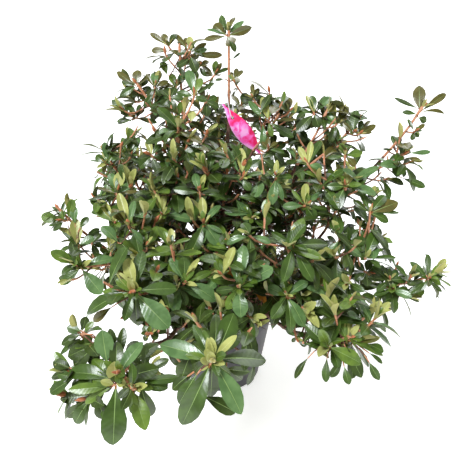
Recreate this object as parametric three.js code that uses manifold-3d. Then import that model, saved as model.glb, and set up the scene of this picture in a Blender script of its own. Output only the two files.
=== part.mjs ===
// An evergreen azalea shrub in a round nursery pot, in millimetres, +Z up. The origin is the centre
// of the pot's flat underside, and -Y is the front. A short stool in the potting compost carries
// bare boughs, and each bough carries one to three masses of twigs and leaf whorls. A pointed plant
// label hangs from the tallest shoot.
import * as THREE from 'three';
import { mergeVertices } from 'three/addons/utils/BufferGeometryUtils.js';
import Module from 'manifold-3d';

const wasm = await Module();
wasm.setup();

// Pot: a thin tapered wall with a stepped rim band, open at the top.
const POT_HEIGHT = 148;
const POT_RIM_RADIUS = 95;
const POT_FOOT_RADIUS = 72.5;
const POT_WALL = 1.8;
const RIM_BAND = 15;
const RIM_STEP = 3;
const RIM_SLOPE = 1.5;
const RIM_TAPER = 0.8;
const LIP_ROUND = 1;
const POT_CHAMFER = 3;
const POT_SIDES = 28;
const SEAT_GAP = 0.3;

// Compost: it fills the pot to just under the rim and rises a little to the stool.
const COMPOST_DROP = 12;
const COMPOST_RISE = 3;
const COMPOST_FLAT = 24;
const COMPOST_SLACK = 0.6;
const COMPOST_EDGE = 4.4;

// Stool: a flared foot that forks close above the compost into stubs, one for each bough.
const STOOL_FOOT_RADIUS = 20;
const STOOL_NECK_RADIUS = 12.5;
const STOOL_HEIGHT = 34;
const STOOL_SIDES = 10;
const STOOL_RINGS = [0, 0.12, 0.35, 1];
const ROOT_LOBES = 5;
const LOBE_DEPTH = 0.13;
const STUB_START = 2;
const STUB_SWELL = 1.2;

// Boughs: every one tapers from its stub to its tip.
const BOUGH_FOOT_RADIUS = 4.4;
const BOUGH_TIP_RADIUS = 2.7;
const BOUGH_SIDES = 6;
const BOUGH_STEPS = 7;
const BOUGH_WANDER = 5;
const BOUGH_SWAYS = 1.1;
const BOUGH_TAPER = 0.8;
const BOUGH_LIFT = 0.35;
const LIMB_GAP = 0.4;

// Twigs. A mass's stem carries side shoots, which lean less and grow shorter towards its crest.
const STEM_RADIUS = 1.9;
const TWIG_RADIUS = 1.3;
const TWIG_SIDES = 3;
const STEM_STEPS = 4;
const TWIG_STEPS = 1;
const TWIG_TAPER = [1.15, 0.85];
const STEM_LIFT = 0.5;
const SHOOT_LIFT = 0.3;
const SHOOT_TIP_LIFT = 0.55;
const LAST_SHOOT = 0.97;
const SHOOT_LEANS = [72, 48];
const LEAN_SPREAD = 8;
const TURN_SPREAD = 0.3;
const SHOOT_SIZES = [1, 0.72];
const SIZE_SPREAD = [0.85, 1.1];
const SHOOT_TRIES = [1, 0.8, 0.6, 0.42];
const SHOOT_CLEARANCE = 2;
const GOLDEN_ANGLE = Math.PI * (3 - Math.sqrt(5));
const UP = new THREE.Vector3(0, 0, 1);

// Leaves. Each grows out of one face of its shoot's knob and adds eight faces. They are fewer than
// the plant's, and larger than life by LEAF_SCALE to fill the crown as well.
const LEAF_SCALE = 1.1;
const LEAF_WIDTH = 0.45;
const LEAF_THICKNESS = 0.045;
const LEAF_WIDEST = 0.52;
const LEAF_DROOP = 0.08;
const LEAF_CLEARANCE = 2.6;
const LEAF_SPACING = 4.5;
const LEAST_FULLNESS = 2.4;
const LEAF_TRIES = [
  { size: 1, lift: 0 },
  { size: 0.85, lift: 10 },
  { size: 0.7, lift: 20 },
  { size: 0.55, lift: 25 },
];

// A whorl has large leaves that spread and young ones that stand up. Order is the order in which
// the faces of the knob get a leaf.
const WHORL = [
  { leaves: 5, lean: [64, 88], size: [0.84, 1.08], order: [0, 1, 2, 3, 4, 5] },
  { leaves: 2, lean: [26, 44], size: [0.6, 0.78], order: [0, 2, 4, 1, 3, 5] },
];
const WHORL_TURNS = 3;

// Points along a leaf's sides, from its root out and on to its tip, that must lie in free space.
const ROOT_PROBES = [0.4, 0.7];
const TIP_PROBES = [0.35, 0.7];

// Leaves and twigs keep clear of the next mass's space, of the ground and of the pot.
const SPACE_GAP = 0.5;
const SPACE_LEAF_SHARE = 0.6;
const GROUND_CLEARANCE = 4;
const POT_CLEARANCE = 5;

// Every shoot ends in a knob: three rings of corners, each turned half a side from the one below.
const KNOB_RINGS = [
  { height: 0, radius: 2.3 },
  { height: 4, radius: 2.8 },
  { height: 8.5, radius: 1.5 },
];

// Label: a long pointed strip, curled a little, and the tie that hangs it from the tallest shoot.
const LABEL_LENGTH = 110;
const LABEL_WIDTH = 30;
const LABEL_THICKNESS = 0.9;
const LABEL_CURL = 8;
const LABEL_STEPS = 8;
const LABEL_ENDS = [0, 0.95];
const LABEL_BLUNTNESS = 1.25;
const LABEL_LEAST_WIDTH = 0.12;
const LABEL_HOLE_RADIUS = 3;
const LABEL_HOLE_SIDES = 8;
const LABEL_HOLE_LIFT = 1.2;
const LABEL_HOLE_INSET = 28;
const LABEL_SLOPE = 53;
const LABEL_FRONT_STEPS = [0, 1, 2];
const LABEL_FRONT_SHARES = [0.25, 0.5, 0.8];
const TIE_RADIUS = 0.6;
const TIE_SIDES = 3;
const TIE_HALF_WIDTH = 5;
const TIE_STEPS = 18;
const TIE_TOP = 526;
const TIE_FOOT = 472;
const TIE_BEARING = 45;
const TIE_STANDOFF = 3.4;
const TIE_REACH = 9.5;

// Each tier of stubs rises from the stool at its own height and slope.
const TIERS = {
  low: { rise: 22, height: 15, arm: 30 },
  mid: { rise: 45, height: 25, arm: 32 },
  high: { rise: 64, height: 32, arm: 37 },
};

// A bough's tip is given by its bearing in degrees from the front, positive to the right, its reach
// from the pot's axis and its height above the ground. Turn is the bearing of its stub.
const BOUGHS = [
  { name: 'bough_front', tier: 'low', turn: 5, bearing: 2, reach: 292, height: 300 },
  { name: 'bough_right_low', tier: 'low', turn: 45, bearing: 36, reach: 220, height: 222 },
  { name: 'bough_right_tip', tier: 'low', turn: 82, bearing: 69, reach: 236, height: 238 },
  { name: 'bough_back_right', tier: 'low', turn: 135, bearing: 133, reach: 178, height: 270 },
  { name: 'bough_back_left', tier: 'low', turn: 225, bearing: 226, reach: 182, height: 272 },
  { name: 'bough_left', tier: 'low', turn: -72, bearing: -64, reach: 168, height: 278 },
  { name: 'bough_front_left', tier: 'low', turn: -32, bearing: -17, reach: 290, height: 288 },
  { name: 'bough_centre_front', tier: 'mid', turn: 8, bearing: 4, reach: 105, height: 282 },
  { name: 'bough_right_front', tier: 'mid', turn: 48, bearing: 38, reach: 140, height: 262 },
  { name: 'bough_right_side', tier: 'mid', turn: 88, bearing: 73, reach: 162, height: 300 },
  { name: 'bough_right_top', tier: 'mid', turn: 125, bearing: 94, reach: 248, height: 400 },
  { name: 'bough_back', tier: 'mid', turn: 182, bearing: 180, reach: 150, height: 320 },
  { name: 'bough_left_high', tier: 'mid', turn: 262, bearing: 265, reach: 122, height: 330 },
  { name: 'bough_left_front', tier: 'mid', turn: 318, bearing: 332, reach: 168, height: 286 },
  { name: 'bough_centre_up', tier: 'high', turn: 0, bearing: 5, reach: 34, height: 335 },
  { name: 'bough_right_up', tier: 'high', turn: 60, bearing: 96, reach: 108, height: 375 },
  { name: 'bough_centre_right', tier: 'high', turn: 120, bearing: 138, reach: 66, height: 405 },
  { name: 'bough_top_centre', tier: 'high', turn: 180, bearing: 172, reach: 88, height: 455 },
  { name: 'bough_top_left', tier: 'high', turn: 240, bearing: 215, reach: 118, height: 430 },
  { name: 'bough_centre_left', tier: 'high', turn: 300, bearing: 292, reach: 50, height: 375 },
];

// A mass's stem runs from its bough's tip to its crest, which is given like a bough's tip. Side
// shoots leave the stem from the share "from" onwards and reach out by "spread". Leaf is the length
// of its largest leaves.
const MASSES = [
  { name: 'front_rosette', bough: 'bough_front', bearing: 0, reach: 396, height: 373,
    spread: 44, shoots: 4, from: 0.5, leaf: 53 },
  { name: 'front_left_rosette', bough: 'bough_front_left', bearing: -14, reach: 382, height: 334,
    spread: 54, shoots: 6, from: 0.4, leaf: 48 },
  { name: 'left_low_foliage', bough: 'bough_left_front', bearing: -19, reach: 290, height: 362,
    spread: 50, shoots: 4, from: 0.45, leaf: 50 },
  { name: 'left_inner_foliage', bough: 'bough_left_front', bearing: -14, reach: 206, height: 330,
    spread: 44, shoots: 4, from: 0.5, leaf: 45 },
  { name: 'left_centre_foliage', bough: 'bough_left_front', bearing: -38, reach: 186, height: 372,
    spread: 48, shoots: 5, from: 0.5, leaf: 45 },
  { name: 'left_side_foliage', bough: 'bough_left', bearing: -59, reach: 243, height: 308,
    spread: 46, shoots: 5, from: 0.4, leaf: 44 },
  { name: 'left_tip_foliage', bough: 'bough_left', bearing: -75, reach: 252, height: 368,
    spread: 30, shoots: 3, from: 0.5, leaf: 40 },
  { name: 'left_front_foliage', bough: 'bough_left_high', bearing: -61, reach: 186, height: 385,
    spread: 48, shoots: 5, from: 0.55, leaf: 44 },
  { name: 'left_high_foliage', bough: 'bough_left_high', bearing: 260, reach: 194, height: 428,
    spread: 50, shoots: 5, from: 0.4, leaf: 42 },
  { name: 'upper_left_foliage', bough: 'bough_top_left', bearing: 232, reach: 180, height: 522,
    spread: 40, shoots: 5, from: 0.4, leaf: 40 },
  { name: 'top_left_foliage', bough: 'bough_top_left', bearing: 208, reach: 150, height: 580,
    spread: 46, shoots: 6, from: 0.4, leaf: 38 },
  { name: 'top_centre_foliage', bough: 'bough_top_centre', bearing: 173, reach: 108, height: 606,
    spread: 26, shoots: 4, from: 0.45, leaf: 38 },
  { name: 'centre_left_foliage', bough: 'bough_centre_left', bearing: 284, reach: 70, height: 478,
    spread: 56, shoots: 6, from: 0.35, leaf: 42 },
  { name: 'centre_high_foliage', bough: 'bough_centre_up', bearing: 10, reach: 62, height: 425,
    spread: 50, shoots: 5, from: 0.4, leaf: 44 },
  { name: 'centre_foliage', bough: 'bough_centre_front', bearing: -16, reach: 98, height: 372,
    spread: 46, shoots: 5, from: 0.4, leaf: 46 },
  { name: 'centre_low_foliage', bough: 'bough_centre_front', bearing: 8, reach: 214, height: 335,
    spread: 44, shoots: 5, from: 0.5, leaf: 46 },
  { name: 'inner_left_foliage', bough: 'bough_centre_left', bearing: -50, reach: 98, height: 392,
    spread: 44, shoots: 4, from: 0.35, leaf: 44 },
  { name: 'inner_right_foliage', bough: 'bough_centre_up', bearing: 52, reach: 96, height: 398,
    spread: 44, shoots: 4, from: 0.4, leaf: 44 },
  { name: 'upper_right_foliage', bough: 'bough_centre_right', bearing: 112, reach: 98, height: 486,
    spread: 50, shoots: 6, from: 0.4, leaf: 41 },
  { name: 'right_high_foliage', bough: 'bough_right_up', bearing: 104, reach: 174, height: 490,
    spread: 50, shoots: 6, from: 0.4, leaf: 41 },
  { name: 'right_upper_foliage', bough: 'bough_right_up', bearing: 100, reach: 222, height: 476,
    spread: 46, shoots: 5, from: 0.5, leaf: 44 },
  { name: 'right_middle_foliage', bough: 'bough_right_side', bearing: 66, reach: 200, height: 412,
    spread: 48, shoots: 5, from: 0.5, leaf: 46 },
  { name: 'right_side_foliage', bough: 'bough_right_side', bearing: 63, reach: 248, height: 340,
    spread: 48, shoots: 5, from: 0.4, leaf: 45 },
  { name: 'right_crest_foliage', bough: 'bough_right_top', bearing: 95, reach: 317, height: 502,
    spread: 26, shoots: 3, from: 0.6, leaf: 42 },
  { name: 'right_shoulder_foliage', bough: 'bough_right_top', bearing: 86, reach: 280, height: 440,
    spread: 34, shoots: 4, from: 0.4, leaf: 42 },
  { name: 'right_centre_foliage', bough: 'bough_right_front', bearing: 32, reach: 186, height: 356,
    spread: 46, shoots: 5, from: 0.5, leaf: 47 },
  { name: 'right_inner_foliage', bough: 'bough_right_front', bearing: 33, reach: 208, height: 285,
    spread: 42, shoots: 5, from: 0.4, leaf: 46 },
  { name: 'right_tip_foliage', bough: 'bough_right_tip', bearing: 69, reach: 334, height: 284,
    spread: 34, shoots: 5, from: 0.35, leaf: 43 },
  { name: 'right_low_foliage', bough: 'bough_right_low', bearing: 35, reach: 292, height: 268,
    spread: 48, shoots: 6, from: 0.35, leaf: 46 },
  { name: 'back_left_foliage', bough: 'bough_back_left', bearing: 233, reach: 232, height: 372,
    spread: 58, shoots: 6, from: 0.4, leaf: 42 },
  { name: 'back_left_low_foliage', bough: 'bough_back_left', bearing: 213, reach: 262, height: 300,
    spread: 54, shoots: 6, from: 0.4, leaf: 42 },
  { name: 'back_right_foliage', bough: 'bough_back_right', bearing: 128, reach: 236, height: 378,
    spread: 58, shoots: 6, from: 0.4, leaf: 42 },
  { name: 'back_right_low_foliage', bough: 'bough_back_right', bearing: 145, reach: 262, height: 296,
    spread: 54, shoots: 6, from: 0.4, leaf: 42 },
  { name: 'back_high_foliage', bough: 'bough_back', bearing: 182, reach: 200, height: 436,
    spread: 60, shoots: 6, from: 0.4, leaf: 40 },
  { name: 'back_low_foliage', bough: 'bough_back', bearing: 178, reach: 264, height: 352,
    spread: 54, shoots: 6, from: 0.4, leaf: 42 },
];

const radians = (degrees) => degrees * Math.PI / 180;
const mix = (low, high, share) => low + (high - low) * share;

// The point at a bearing from the front, a reach from the pot's axis and a height.
function place(bearing, reach, height) {
  const angle = radians(bearing);
  return new THREE.Vector3(reach * Math.sin(angle), -reach * Math.cos(angle), height);
}

// A seeded source of even numbers between two limits.
function drawsFrom(seed) {
  let state = (seed * 2654435761 + 97) % 4294967296;
  const draw = (low, high) => {
    state = (state * 1664525 + 1013904223) % 4294967296;
    return low + (high - low) * state / 4294967296;
  };
  for (let i = 0; i < 4; i += 1) draw(0, 1);
  return draw;
}

// Two unit vectors square to an axis and to each other.
function squareTo(axis) {
  const other = Math.abs(axis.z) > 0.95 ? new THREE.Vector3(1, 0, 0) : UP;
  const first = new THREE.Vector3().crossVectors(axis, other).normalize();
  const second = new THREE.Vector3().crossVectors(axis, first);
  return [first, second];
}

// The unit vector that leans from an axis by an angle, towards a turn round it.
function leaning(axis, lean, turn) {
  const [first, second] = squareTo(axis);
  return axis.clone().multiplyScalar(Math.cos(lean))
    .addScaledVector(first, Math.sin(lean) * Math.cos(turn))
    .addScaledVector(second, Math.sin(lean) * Math.sin(turn));
}

// Points along a smooth bend that leaves its start and reaches its end in given directions.
function bend(start, startDirection, end, endDirection, steps) {
  const pull = start.distanceTo(end) / 3;
  const curve = new THREE.CubicBezierCurve3(
    start,
    start.clone().addScaledVector(startDirection, pull),
    end.clone().addScaledVector(endDirection, -pull),
    end,
  );
  return curve.getPoints(steps);
}

// Rings of corners square to a line, one for each of its points, with a radius for each. The first
// ring is square to "facing" where that is given.
function ringsAlong(points, radii, sides, turn = 0, facing = null) {
  let across = null;
  return points.map((point, i) => {
    const ahead = points[Math.min(i + 1, points.length - 1)];
    const behind = points[Math.max(i - 1, 0)];
    let along = new THREE.Vector3().subVectors(ahead, behind).normalize();
    if (i === 0 && facing) along = facing;
    across = across ?? leaning(along, Math.PI / 2, turn);
    across = across.clone().addScaledVector(along, -across.dot(along)).normalize();
    return ringRound(point, along, across, radii[i], sides, 0);
  });
}

function ringRound(centre, along, across, radius, sides, turn) {
  const upright = new THREE.Vector3().crossVectors(along, across);
  return Array.from({ length: sides }, (_, side) => {
    const angle = turn + 2 * Math.PI * side / sides;
    return centre.clone()
      .addScaledVector(across, radius * Math.cos(angle))
      .addScaledVector(upright, radius * Math.sin(angle));
  });
}

// The faces of a tube through rings of equally many corners, closed flat at both ends.
function tubeFaces(rings, sides) {
  const faces = [];
  for (let ring = 0; ring + 1 < rings; ring += 1) {
    for (let side = 0; side < sides; side += 1) {
      const a = ring * sides + side;
      const b = ring * sides + (side + 1) % sides;
      faces.push([a, b, b + sides], [a, b + sides, a + sides]);
    }
  }
  const last = (rings - 1) * sides;
  for (let side = 1; side + 1 < sides; side += 1) {
    faces.push([0, side + 1, side], [last, last + side, last + side + 1]);
  }
  return faces;
}

// A closed limb of round section along points.
function limbGeometry(points, radii, sides, facing = null) {
  const corners = ringsAlong(points, radii, sides, 0, facing).flat();
  return indexed(corners.flatMap((corner) => corner.toArray()), tubeFaces(points.length, sides).flat());
}

function indexed(positions, faces) {
  const geometry = new THREE.BufferGeometry();
  geometry.setAttribute('position', new THREE.Float32BufferAttribute(positions, 3));
  geometry.setIndex(faces);
  return geometry;
}

// A geometry with its shared corners joined and its faces of no area left out.
function joined(geometry) {
  const bare = new THREE.BufferGeometry();
  bare.setAttribute('position', geometry.getAttribute('position'));
  bare.setIndex(geometry.index);
  const merged = mergeVertices(bare, 1e-3);
  const kept = [];
  for (let i = 0; i < merged.index.count; i += 3) {
    const [a, b, c] = [0, 1, 2].map((k) => merged.index.getX(i + k));
    if (a !== b && b !== c && c !== a) kept.push(a, b, c);
  }
  merged.setIndex(kept);
  return merged;
}

function solidFrom(geometry) {
  return new wasm.Manifold(new wasm.Mesh({
    numProp: 3,
    vertProperties: new Float32Array(geometry.getAttribute('position').array),
    triVerts: new Uint32Array(geometry.index.array),
  }));
}

// The largest body of a solid as a geometry, with any loose scrap dropped.
function geometryFrom(solid) {
  const bodies = solid.decompose();
  bodies.sort((a, b) => b.volume() - a.volume());
  const mesh = bodies[0].getMesh();
  return indexed(Array.from(mesh.vertProperties), Array.from(mesh.triVerts));
}

function fuse(geometries) {
  let whole = solidFrom(geometries[0]);
  for (const geometry of geometries.slice(1)) whole = whole.add(solidFrom(geometry));
  return geometryFrom(whole.asOriginal().simplify(0.02));
}

const MATERIALS = {
  pot: new THREE.MeshStandardMaterial({ color: 0x35333a, roughness: 0.45, metalness: 0 }),
  compost: new THREE.MeshStandardMaterial({ color: 0x33241b, roughness: 0.95, metalness: 0 }),
  bark: new THREE.MeshStandardMaterial({ color: 0x6b4433, roughness: 0.85, metalness: 0 }),
  foliage: new THREE.MeshStandardMaterial({ color: 0x3f6e34, roughness: 0.45, metalness: 0 }),
  label: new THREE.MeshStandardMaterial({ color: 0xe8409a, roughness: 0.35, metalness: 0 }),
  tie: new THREE.MeshStandardMaterial({ color: 0xe9e9ee, roughness: 0.3, metalness: 0 }),
};

function piece(name, geometry, material) {
  geometry.computeVertexNormals();
  const mesh = new THREE.Mesh(geometry, material);
  mesh.name = name;
  return mesh;
}

// Pot and compost.
function innerRadius(height) {
  const share = height / (POT_HEIGHT - RIM_BAND);
  return mix(POT_FOOT_RADIUS, POT_RIM_RADIUS - RIM_STEP, share) - POT_WALL;
}

function pot() {
  const bandFoot = POT_HEIGHT - RIM_BAND;
  const profile = [
    [0, 0],
    [POT_FOOT_RADIUS - POT_CHAMFER, 0],
    [POT_FOOT_RADIUS, POT_CHAMFER],
    [POT_RIM_RADIUS - RIM_STEP, bandFoot],
    [POT_RIM_RADIUS - RIM_TAPER, bandFoot + RIM_SLOPE],
    [POT_RIM_RADIUS, POT_HEIGHT - LIP_ROUND],
    [POT_RIM_RADIUS - POT_WALL / 2, POT_HEIGHT],
    [POT_RIM_RADIUS - POT_WALL, POT_HEIGHT - LIP_ROUND],
    [POT_RIM_RADIUS - POT_WALL - RIM_TAPER, bandFoot + RIM_SLOPE],
    [innerRadius(bandFoot), bandFoot],
    [innerRadius(POT_CHAMFER), POT_CHAMFER],
    [innerRadius(POT_CHAMFER) - LIP_ROUND, POT_WALL],
    [0, POT_WALL],
  ];
  return piece('pot', lathed(profile), MATERIALS.pot);
}

function compost() {
  const rim = POT_HEIGHT - COMPOST_DROP;
  const bandFoot = POT_HEIGHT - RIM_BAND;
  const profile = [
    [0, POT_WALL + SEAT_GAP],
    [innerRadius(POT_CHAMFER) - COMPOST_SLACK - LIP_ROUND, POT_WALL + SEAT_GAP],
    [innerRadius(POT_CHAMFER) - COMPOST_SLACK, POT_CHAMFER + LIP_ROUND],
    [innerRadius(bandFoot) - COMPOST_SLACK, bandFoot],
    [innerRadius(bandFoot) - COMPOST_SLACK - COMPOST_EDGE, rim],
    [COMPOST_FLAT, rim + COMPOST_RISE],
    [0, rim + COMPOST_RISE],
  ];
  return piece('potting_compost', lathed(profile), MATERIALS.compost);
}

// A profile of [radius, height] pairs turned about the pot's axis.
function lathed(profile) {
  const outline = profile.map(([radius, height]) => new THREE.Vector2(radius, height));
  const turned = new THREE.LatheGeometry(outline, POT_SIDES);
  turned.rotateX(Math.PI / 2);
  return joined(turned);
}

// Stool and boughs.
const STOOL_FOOT = POT_HEIGHT - COMPOST_DROP + COMPOST_RISE + SEAT_GAP;

function stubOf(bough) {
  const tier = TIERS[bough.tier];
  const flat = place(bough.turn, 1, 0);
  const direction = flat.multiplyScalar(Math.cos(radians(tier.rise)));
  direction.z = Math.sin(radians(tier.rise));
  const root = new THREE.Vector3(0, 0, STOOL_FOOT + tier.height);
  return { root, direction, end: root.clone().addScaledVector(direction, tier.arm) };
}

function stool() {
  const rings = STOOL_RINGS.map((share) => {
    const flare = (1 - share) ** 3;
    return {
      height: STOOL_FOOT + STOOL_HEIGHT * share,
      radius: mix(STOOL_NECK_RADIUS, STOOL_FOOT_RADIUS, flare),
      lobes: LOBE_DEPTH * flare,
    };
  });
  const points = rings.map((ring) => new THREE.Vector3(0, 0, ring.height));
  const foot = limbGeometry(points, rings.map((ring) => ring.radius), STOOL_SIDES);
  const corners = foot.getAttribute('position');
  for (let i = 0; i < corners.count; i += 1) {
    const ring = rings[Math.floor(i / STOOL_SIDES)];
    const swell = 1 + ring.lobes * Math.cos(2 * Math.PI * ROOT_LOBES * (i % STOOL_SIDES) / STOOL_SIDES);
    corners.setXY(i, corners.getX(i) * swell, corners.getY(i) * swell);
  }
  const stubs = BOUGHS.map((bough) => {
    const { root, direction, end } = stubOf(bough);
    const start = root.clone().addScaledVector(direction, STUB_START);
    const radii = [BOUGH_FOOT_RADIUS * STUB_SWELL, BOUGH_FOOT_RADIUS];
    return limbGeometry([start, end], radii, BOUGH_SIDES);
  });
  return piece('stool', fuse([foot, ...stubs]), MATERIALS.bark);
}

// The line of a bough: a bend from its stub to its tip that wanders a little to the side.
function boughLine(bough, index) {
  const stub = stubOf(bough);
  const tip = place(bough.bearing, bough.reach, bough.height);
  const start = stub.end.clone().addScaledVector(stub.direction, LIMB_GAP);
  const outward = tip.clone().sub(start).normalize();
  const arrival = outward.clone().addScaledVector(UP, BOUGH_LIFT).normalize();
  const points = bend(start, stub.direction, tip, arrival, BOUGH_STEPS);
  const draw = drawsFrom(index + 1);
  const [first, second] = squareTo(outward);
  const turn = draw(0, 2 * Math.PI);
  return points.map((point, i) => {
    const share = i / BOUGH_STEPS;
    const wave = Math.sin(2 * Math.PI * BOUGH_SWAYS * share + turn);
    const sway = BOUGH_WANDER * Math.sin(Math.PI * share) ** 2 * wave;
    return point.clone()
      .addScaledVector(first, sway * Math.cos(turn))
      .addScaledVector(second, sway * Math.sin(turn));
  });
}

function boughRadii() {
  return Array.from({ length: BOUGH_STEPS + 1 }, (_, i) => (
    mix(BOUGH_FOOT_RADIUS, BOUGH_TIP_RADIUS, (i / BOUGH_STEPS) ** BOUGH_TAPER)
  ));
}

const boughLines = new Map(BOUGHS.map((bough, i) => [bough.name, boughLine(bough, i)]));

function endOf(line) {
  const tip = line[line.length - 1];
  const direction = tip.clone().sub(line[line.length - 2]).normalize();
  return { tip, direction };
}

// The line of a mass's stem. Stems that share a bough's tip start side by side, evenly spaced on it.
function stemLine(mass) {
  const { tip, direction } = endOf(boughLines.get(mass.bough));
  const [first, second] = squareTo(direction);
  const sharing = MASSES.filter((other) => other.bough === mass.bough);
  const angles = sharing.map((other) => {
    const toward = place(other.bearing, other.reach, other.height).sub(tip);
    return { other, angle: Math.atan2(toward.dot(second), toward.dot(first)) };
  });
  angles.sort((a, b) => a.angle - b.angle);
  const rank = angles.findIndex(({ other }) => other === mass);
  const pitch = 2 * Math.PI / sharing.length;
  const sines = angles.reduce((sum, { angle }, i) => sum + Math.sin(angle - pitch * i), 0);
  const cosines = angles.reduce((sum, { angle }, i) => sum + Math.cos(angle - pitch * i), 0);
  const angle = Math.atan2(sines, cosines) + pitch * rank;
  const aside = sharing.length > 1 ? (STEM_RADIUS + LIMB_GAP) / Math.sin(pitch / 2) : 0;
  const start = tip.clone().addScaledVector(direction, LIMB_GAP)
    .addScaledVector(first, aside * Math.cos(angle))
    .addScaledVector(second, aside * Math.sin(angle));
  const crest = place(mass.bearing, mass.reach, mass.height);
  const outward = crest.clone().sub(start).normalize();
  const leaving = outward.clone().add(direction).normalize();
  const arrival = outward.clone().addScaledVector(UP, STEM_LIFT).normalize();
  return bend(start, leaving, crest, arrival, STEM_STEPS);
}

// Each mass's own space is the part of space that lies nearer its heart than any other's, by room.
MASSES.forEach((mass) => {
  mass.line = stemLine(mass);
  mass.facing = endOf(boughLines.get(mass.bough)).direction;
  mass.heart = pointAlong(mass.line, mix(mass.from, 1, SPACE_LEAF_SHARE));
  mass.room = mass.spread + SPACE_LEAF_SHARE * mass.leaf;
});

function pointAlong(line, share) {
  const steps = line.length - 1;
  const whole = Math.min(Math.floor(share * steps), steps - 1);
  return line[whole].clone().lerp(line[whole + 1], share * steps - whole);
}

// The tie's loop: it hooks over the back of the tallest shoot's stem and hangs down in front of it.
const TALLEST = MASSES.find((mass) => mass.name === 'top_centre_foliage');
const TIE_SIDE = place(TIE_BEARING, 1, 0);
const TIE_LINE = tieLine();

function stemAt(line, height) {
  const above = line.findIndex((point) => point.z >= height);
  const [low, high] = [line[above - 1], line[above]];
  return low.clone().lerp(high, (height - low.z) / (high.z - low.z));
}

function tieLine() {
  const top = stemAt(TALLEST.line, TIE_TOP).addScaledVector(TIE_SIDE, -TIE_STANDOFF);
  const foot = stemAt(TALLEST.line, TIE_FOOT).addScaledVector(TIE_SIDE, TIE_REACH);
  const down = foot.clone().sub(top);
  const half = down.length() / 2;
  down.normalize();
  const across = new THREE.Vector3().crossVectors(UP, TIE_SIDE);
  const centre = top.clone().add(foot).multiplyScalar(0.5);
  return Array.from({ length: TIE_STEPS }, (_, i) => {
    const angle = 2 * Math.PI * i / TIE_STEPS;
    return centre.clone().addScaledVector(down, half * Math.cos(angle))
      .addScaledVector(across, TIE_HALF_WIDTH * Math.sin(angle));
  });
}

// The label hangs from the foot of the tie and slopes down to the right.
const LABEL_ALONG = new THREE.Vector3(Math.cos(radians(LABEL_SLOPE)), 0, -Math.sin(radians(LABEL_SLOPE)));
const LABEL_HOLE = TIE_LINE[0].clone().addScaledVector(UP, LABEL_HOLE_LIFT);
const LABEL_HEAD = LABEL_HOLE.clone().addScaledVector(LABEL_ALONG, -LABEL_HOLE_INSET);

// Every limb that leaves and twigs keep clear of, as straight stretches with a radius. The air in
// front of the label is kept clear too, so that it shows.
const STRETCHES = [];
for (const line of boughLines.values()) addStretches(line, BOUGH_FOOT_RADIUS, null);
MASSES.forEach((mass) => addStretches(mass.line, STEM_RADIUS, mass));
for (const step of LABEL_FRONT_STEPS) {
  const shift = new THREE.Vector3(0, -LABEL_WIDTH * step, LABEL_WIDTH / 2 * step);
  const stretch = LABEL_FRONT_SHARES.map((share) => labelPoint(share, 0).add(shift));
  addStretches(stretch, LABEL_WIDTH / 2, null);
}
addStretches([labelPoint(0, 0), labelPoint(1, 0)], LABEL_WIDTH / 6, null);
addStretches([TIE_LINE[0], TIE_LINE[TIE_STEPS / 2]], TIE_HALF_WIDTH, TALLEST);

function addStretches(line, radius, owner) {
  for (let i = 0; i + 1 < line.length; i += 1) {
    STRETCHES.push({ span: new THREE.Line3(line[i], line[i + 1]), radius, owner });
  }
}

// True where a point is in a mass's own space, clear of the pot and of every other limb.
function isFree(point, mass, clearance) {
  if (point.z < GROUND_CLEARANCE) return false;
  const overPot = Math.hypot(point.x, point.y) < POT_RIM_RADIUS + POT_CLEARANCE;
  if (overPot && point.z < POT_HEIGHT + POT_CLEARANCE) return false;
  for (const other of MASSES) {
    if (other === mass) continue;
    const apart = mass.heart.distanceTo(other.heart);
    const mine = point.distanceToSquared(mass.heart) - mass.room ** 2;
    const theirs = point.distanceToSquared(other.heart) - other.room ** 2;
    if ((theirs - mine) / (2 * apart) < SPACE_GAP) return false;
  }
  const nearest = new THREE.Vector3();
  return STRETCHES.every(({ span, radius, owner }) => {
    if (owner === mass) return true;
    span.closestPointToPoint(point, true, nearest);
    return nearest.distanceTo(point) > radius + clearance;
  });
}

// A leaf that grows from the triangle of corners "root": its two edges, its midrib and its tip.
function leafCorners(root, along, lean, length) {
  const centre = root[0].clone().add(root[1]).add(root[2]).divideScalar(3);
  const right = root[root.rightCorner].clone().sub(root[0]);
  right.addScaledVector(along, -right.dot(along)).normalize();
  const outward = new THREE.Vector3().crossVectors(right, along);
  const direction = along.clone().multiplyScalar(Math.cos(lean))
    .addScaledVector(outward, Math.sin(lean));
  const above = new THREE.Vector3().crossVectors(direction, right);
  const middle = centre.clone().addScaledVector(direction, length * LEAF_WIDEST);
  const rib = middle.clone()
    .addScaledVector(above, length * LEAF_THICKNESS * (root.rightCorner === 1 ? 1 : -1));
  const left = middle.clone().addScaledVector(right, -length * LEAF_WIDTH / 2);
  const rightEdge = middle.clone().addScaledVector(right, length * LEAF_WIDTH / 2);
  return {
    centre,
    ring: root.rightCorner === 1 ? [left, rightEdge, rib] : [left, rib, rightEdge],
    tip: centre.clone().addScaledVector(direction, length).addScaledVector(above, -LEAF_DROOP * length),
  };
}

// Points spread over a leaf's outline and midrib, for testing whether it fits.
function leafProbes({ centre, ring, tip }) {
  const probes = [];
  for (const corner of ring) {
    probes.push(...ROOT_PROBES.map((share) => centre.clone().lerp(corner, share)), corner);
    probes.push(...TIP_PROBES.map((share) => corner.clone().lerp(tip, share)));
  }
  return [...probes, tip];
}

// True where a leaf lies in its mass's own space and apart from the leaves that are there already.
function fits(probes, mass, others) {
  return probes.every((probe) => (
    isFree(probe, mass, LEAF_CLEARANCE)
    && others.every((other) => other.distanceTo(probe) > LEAF_SPACING)
  ));
}

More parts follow.
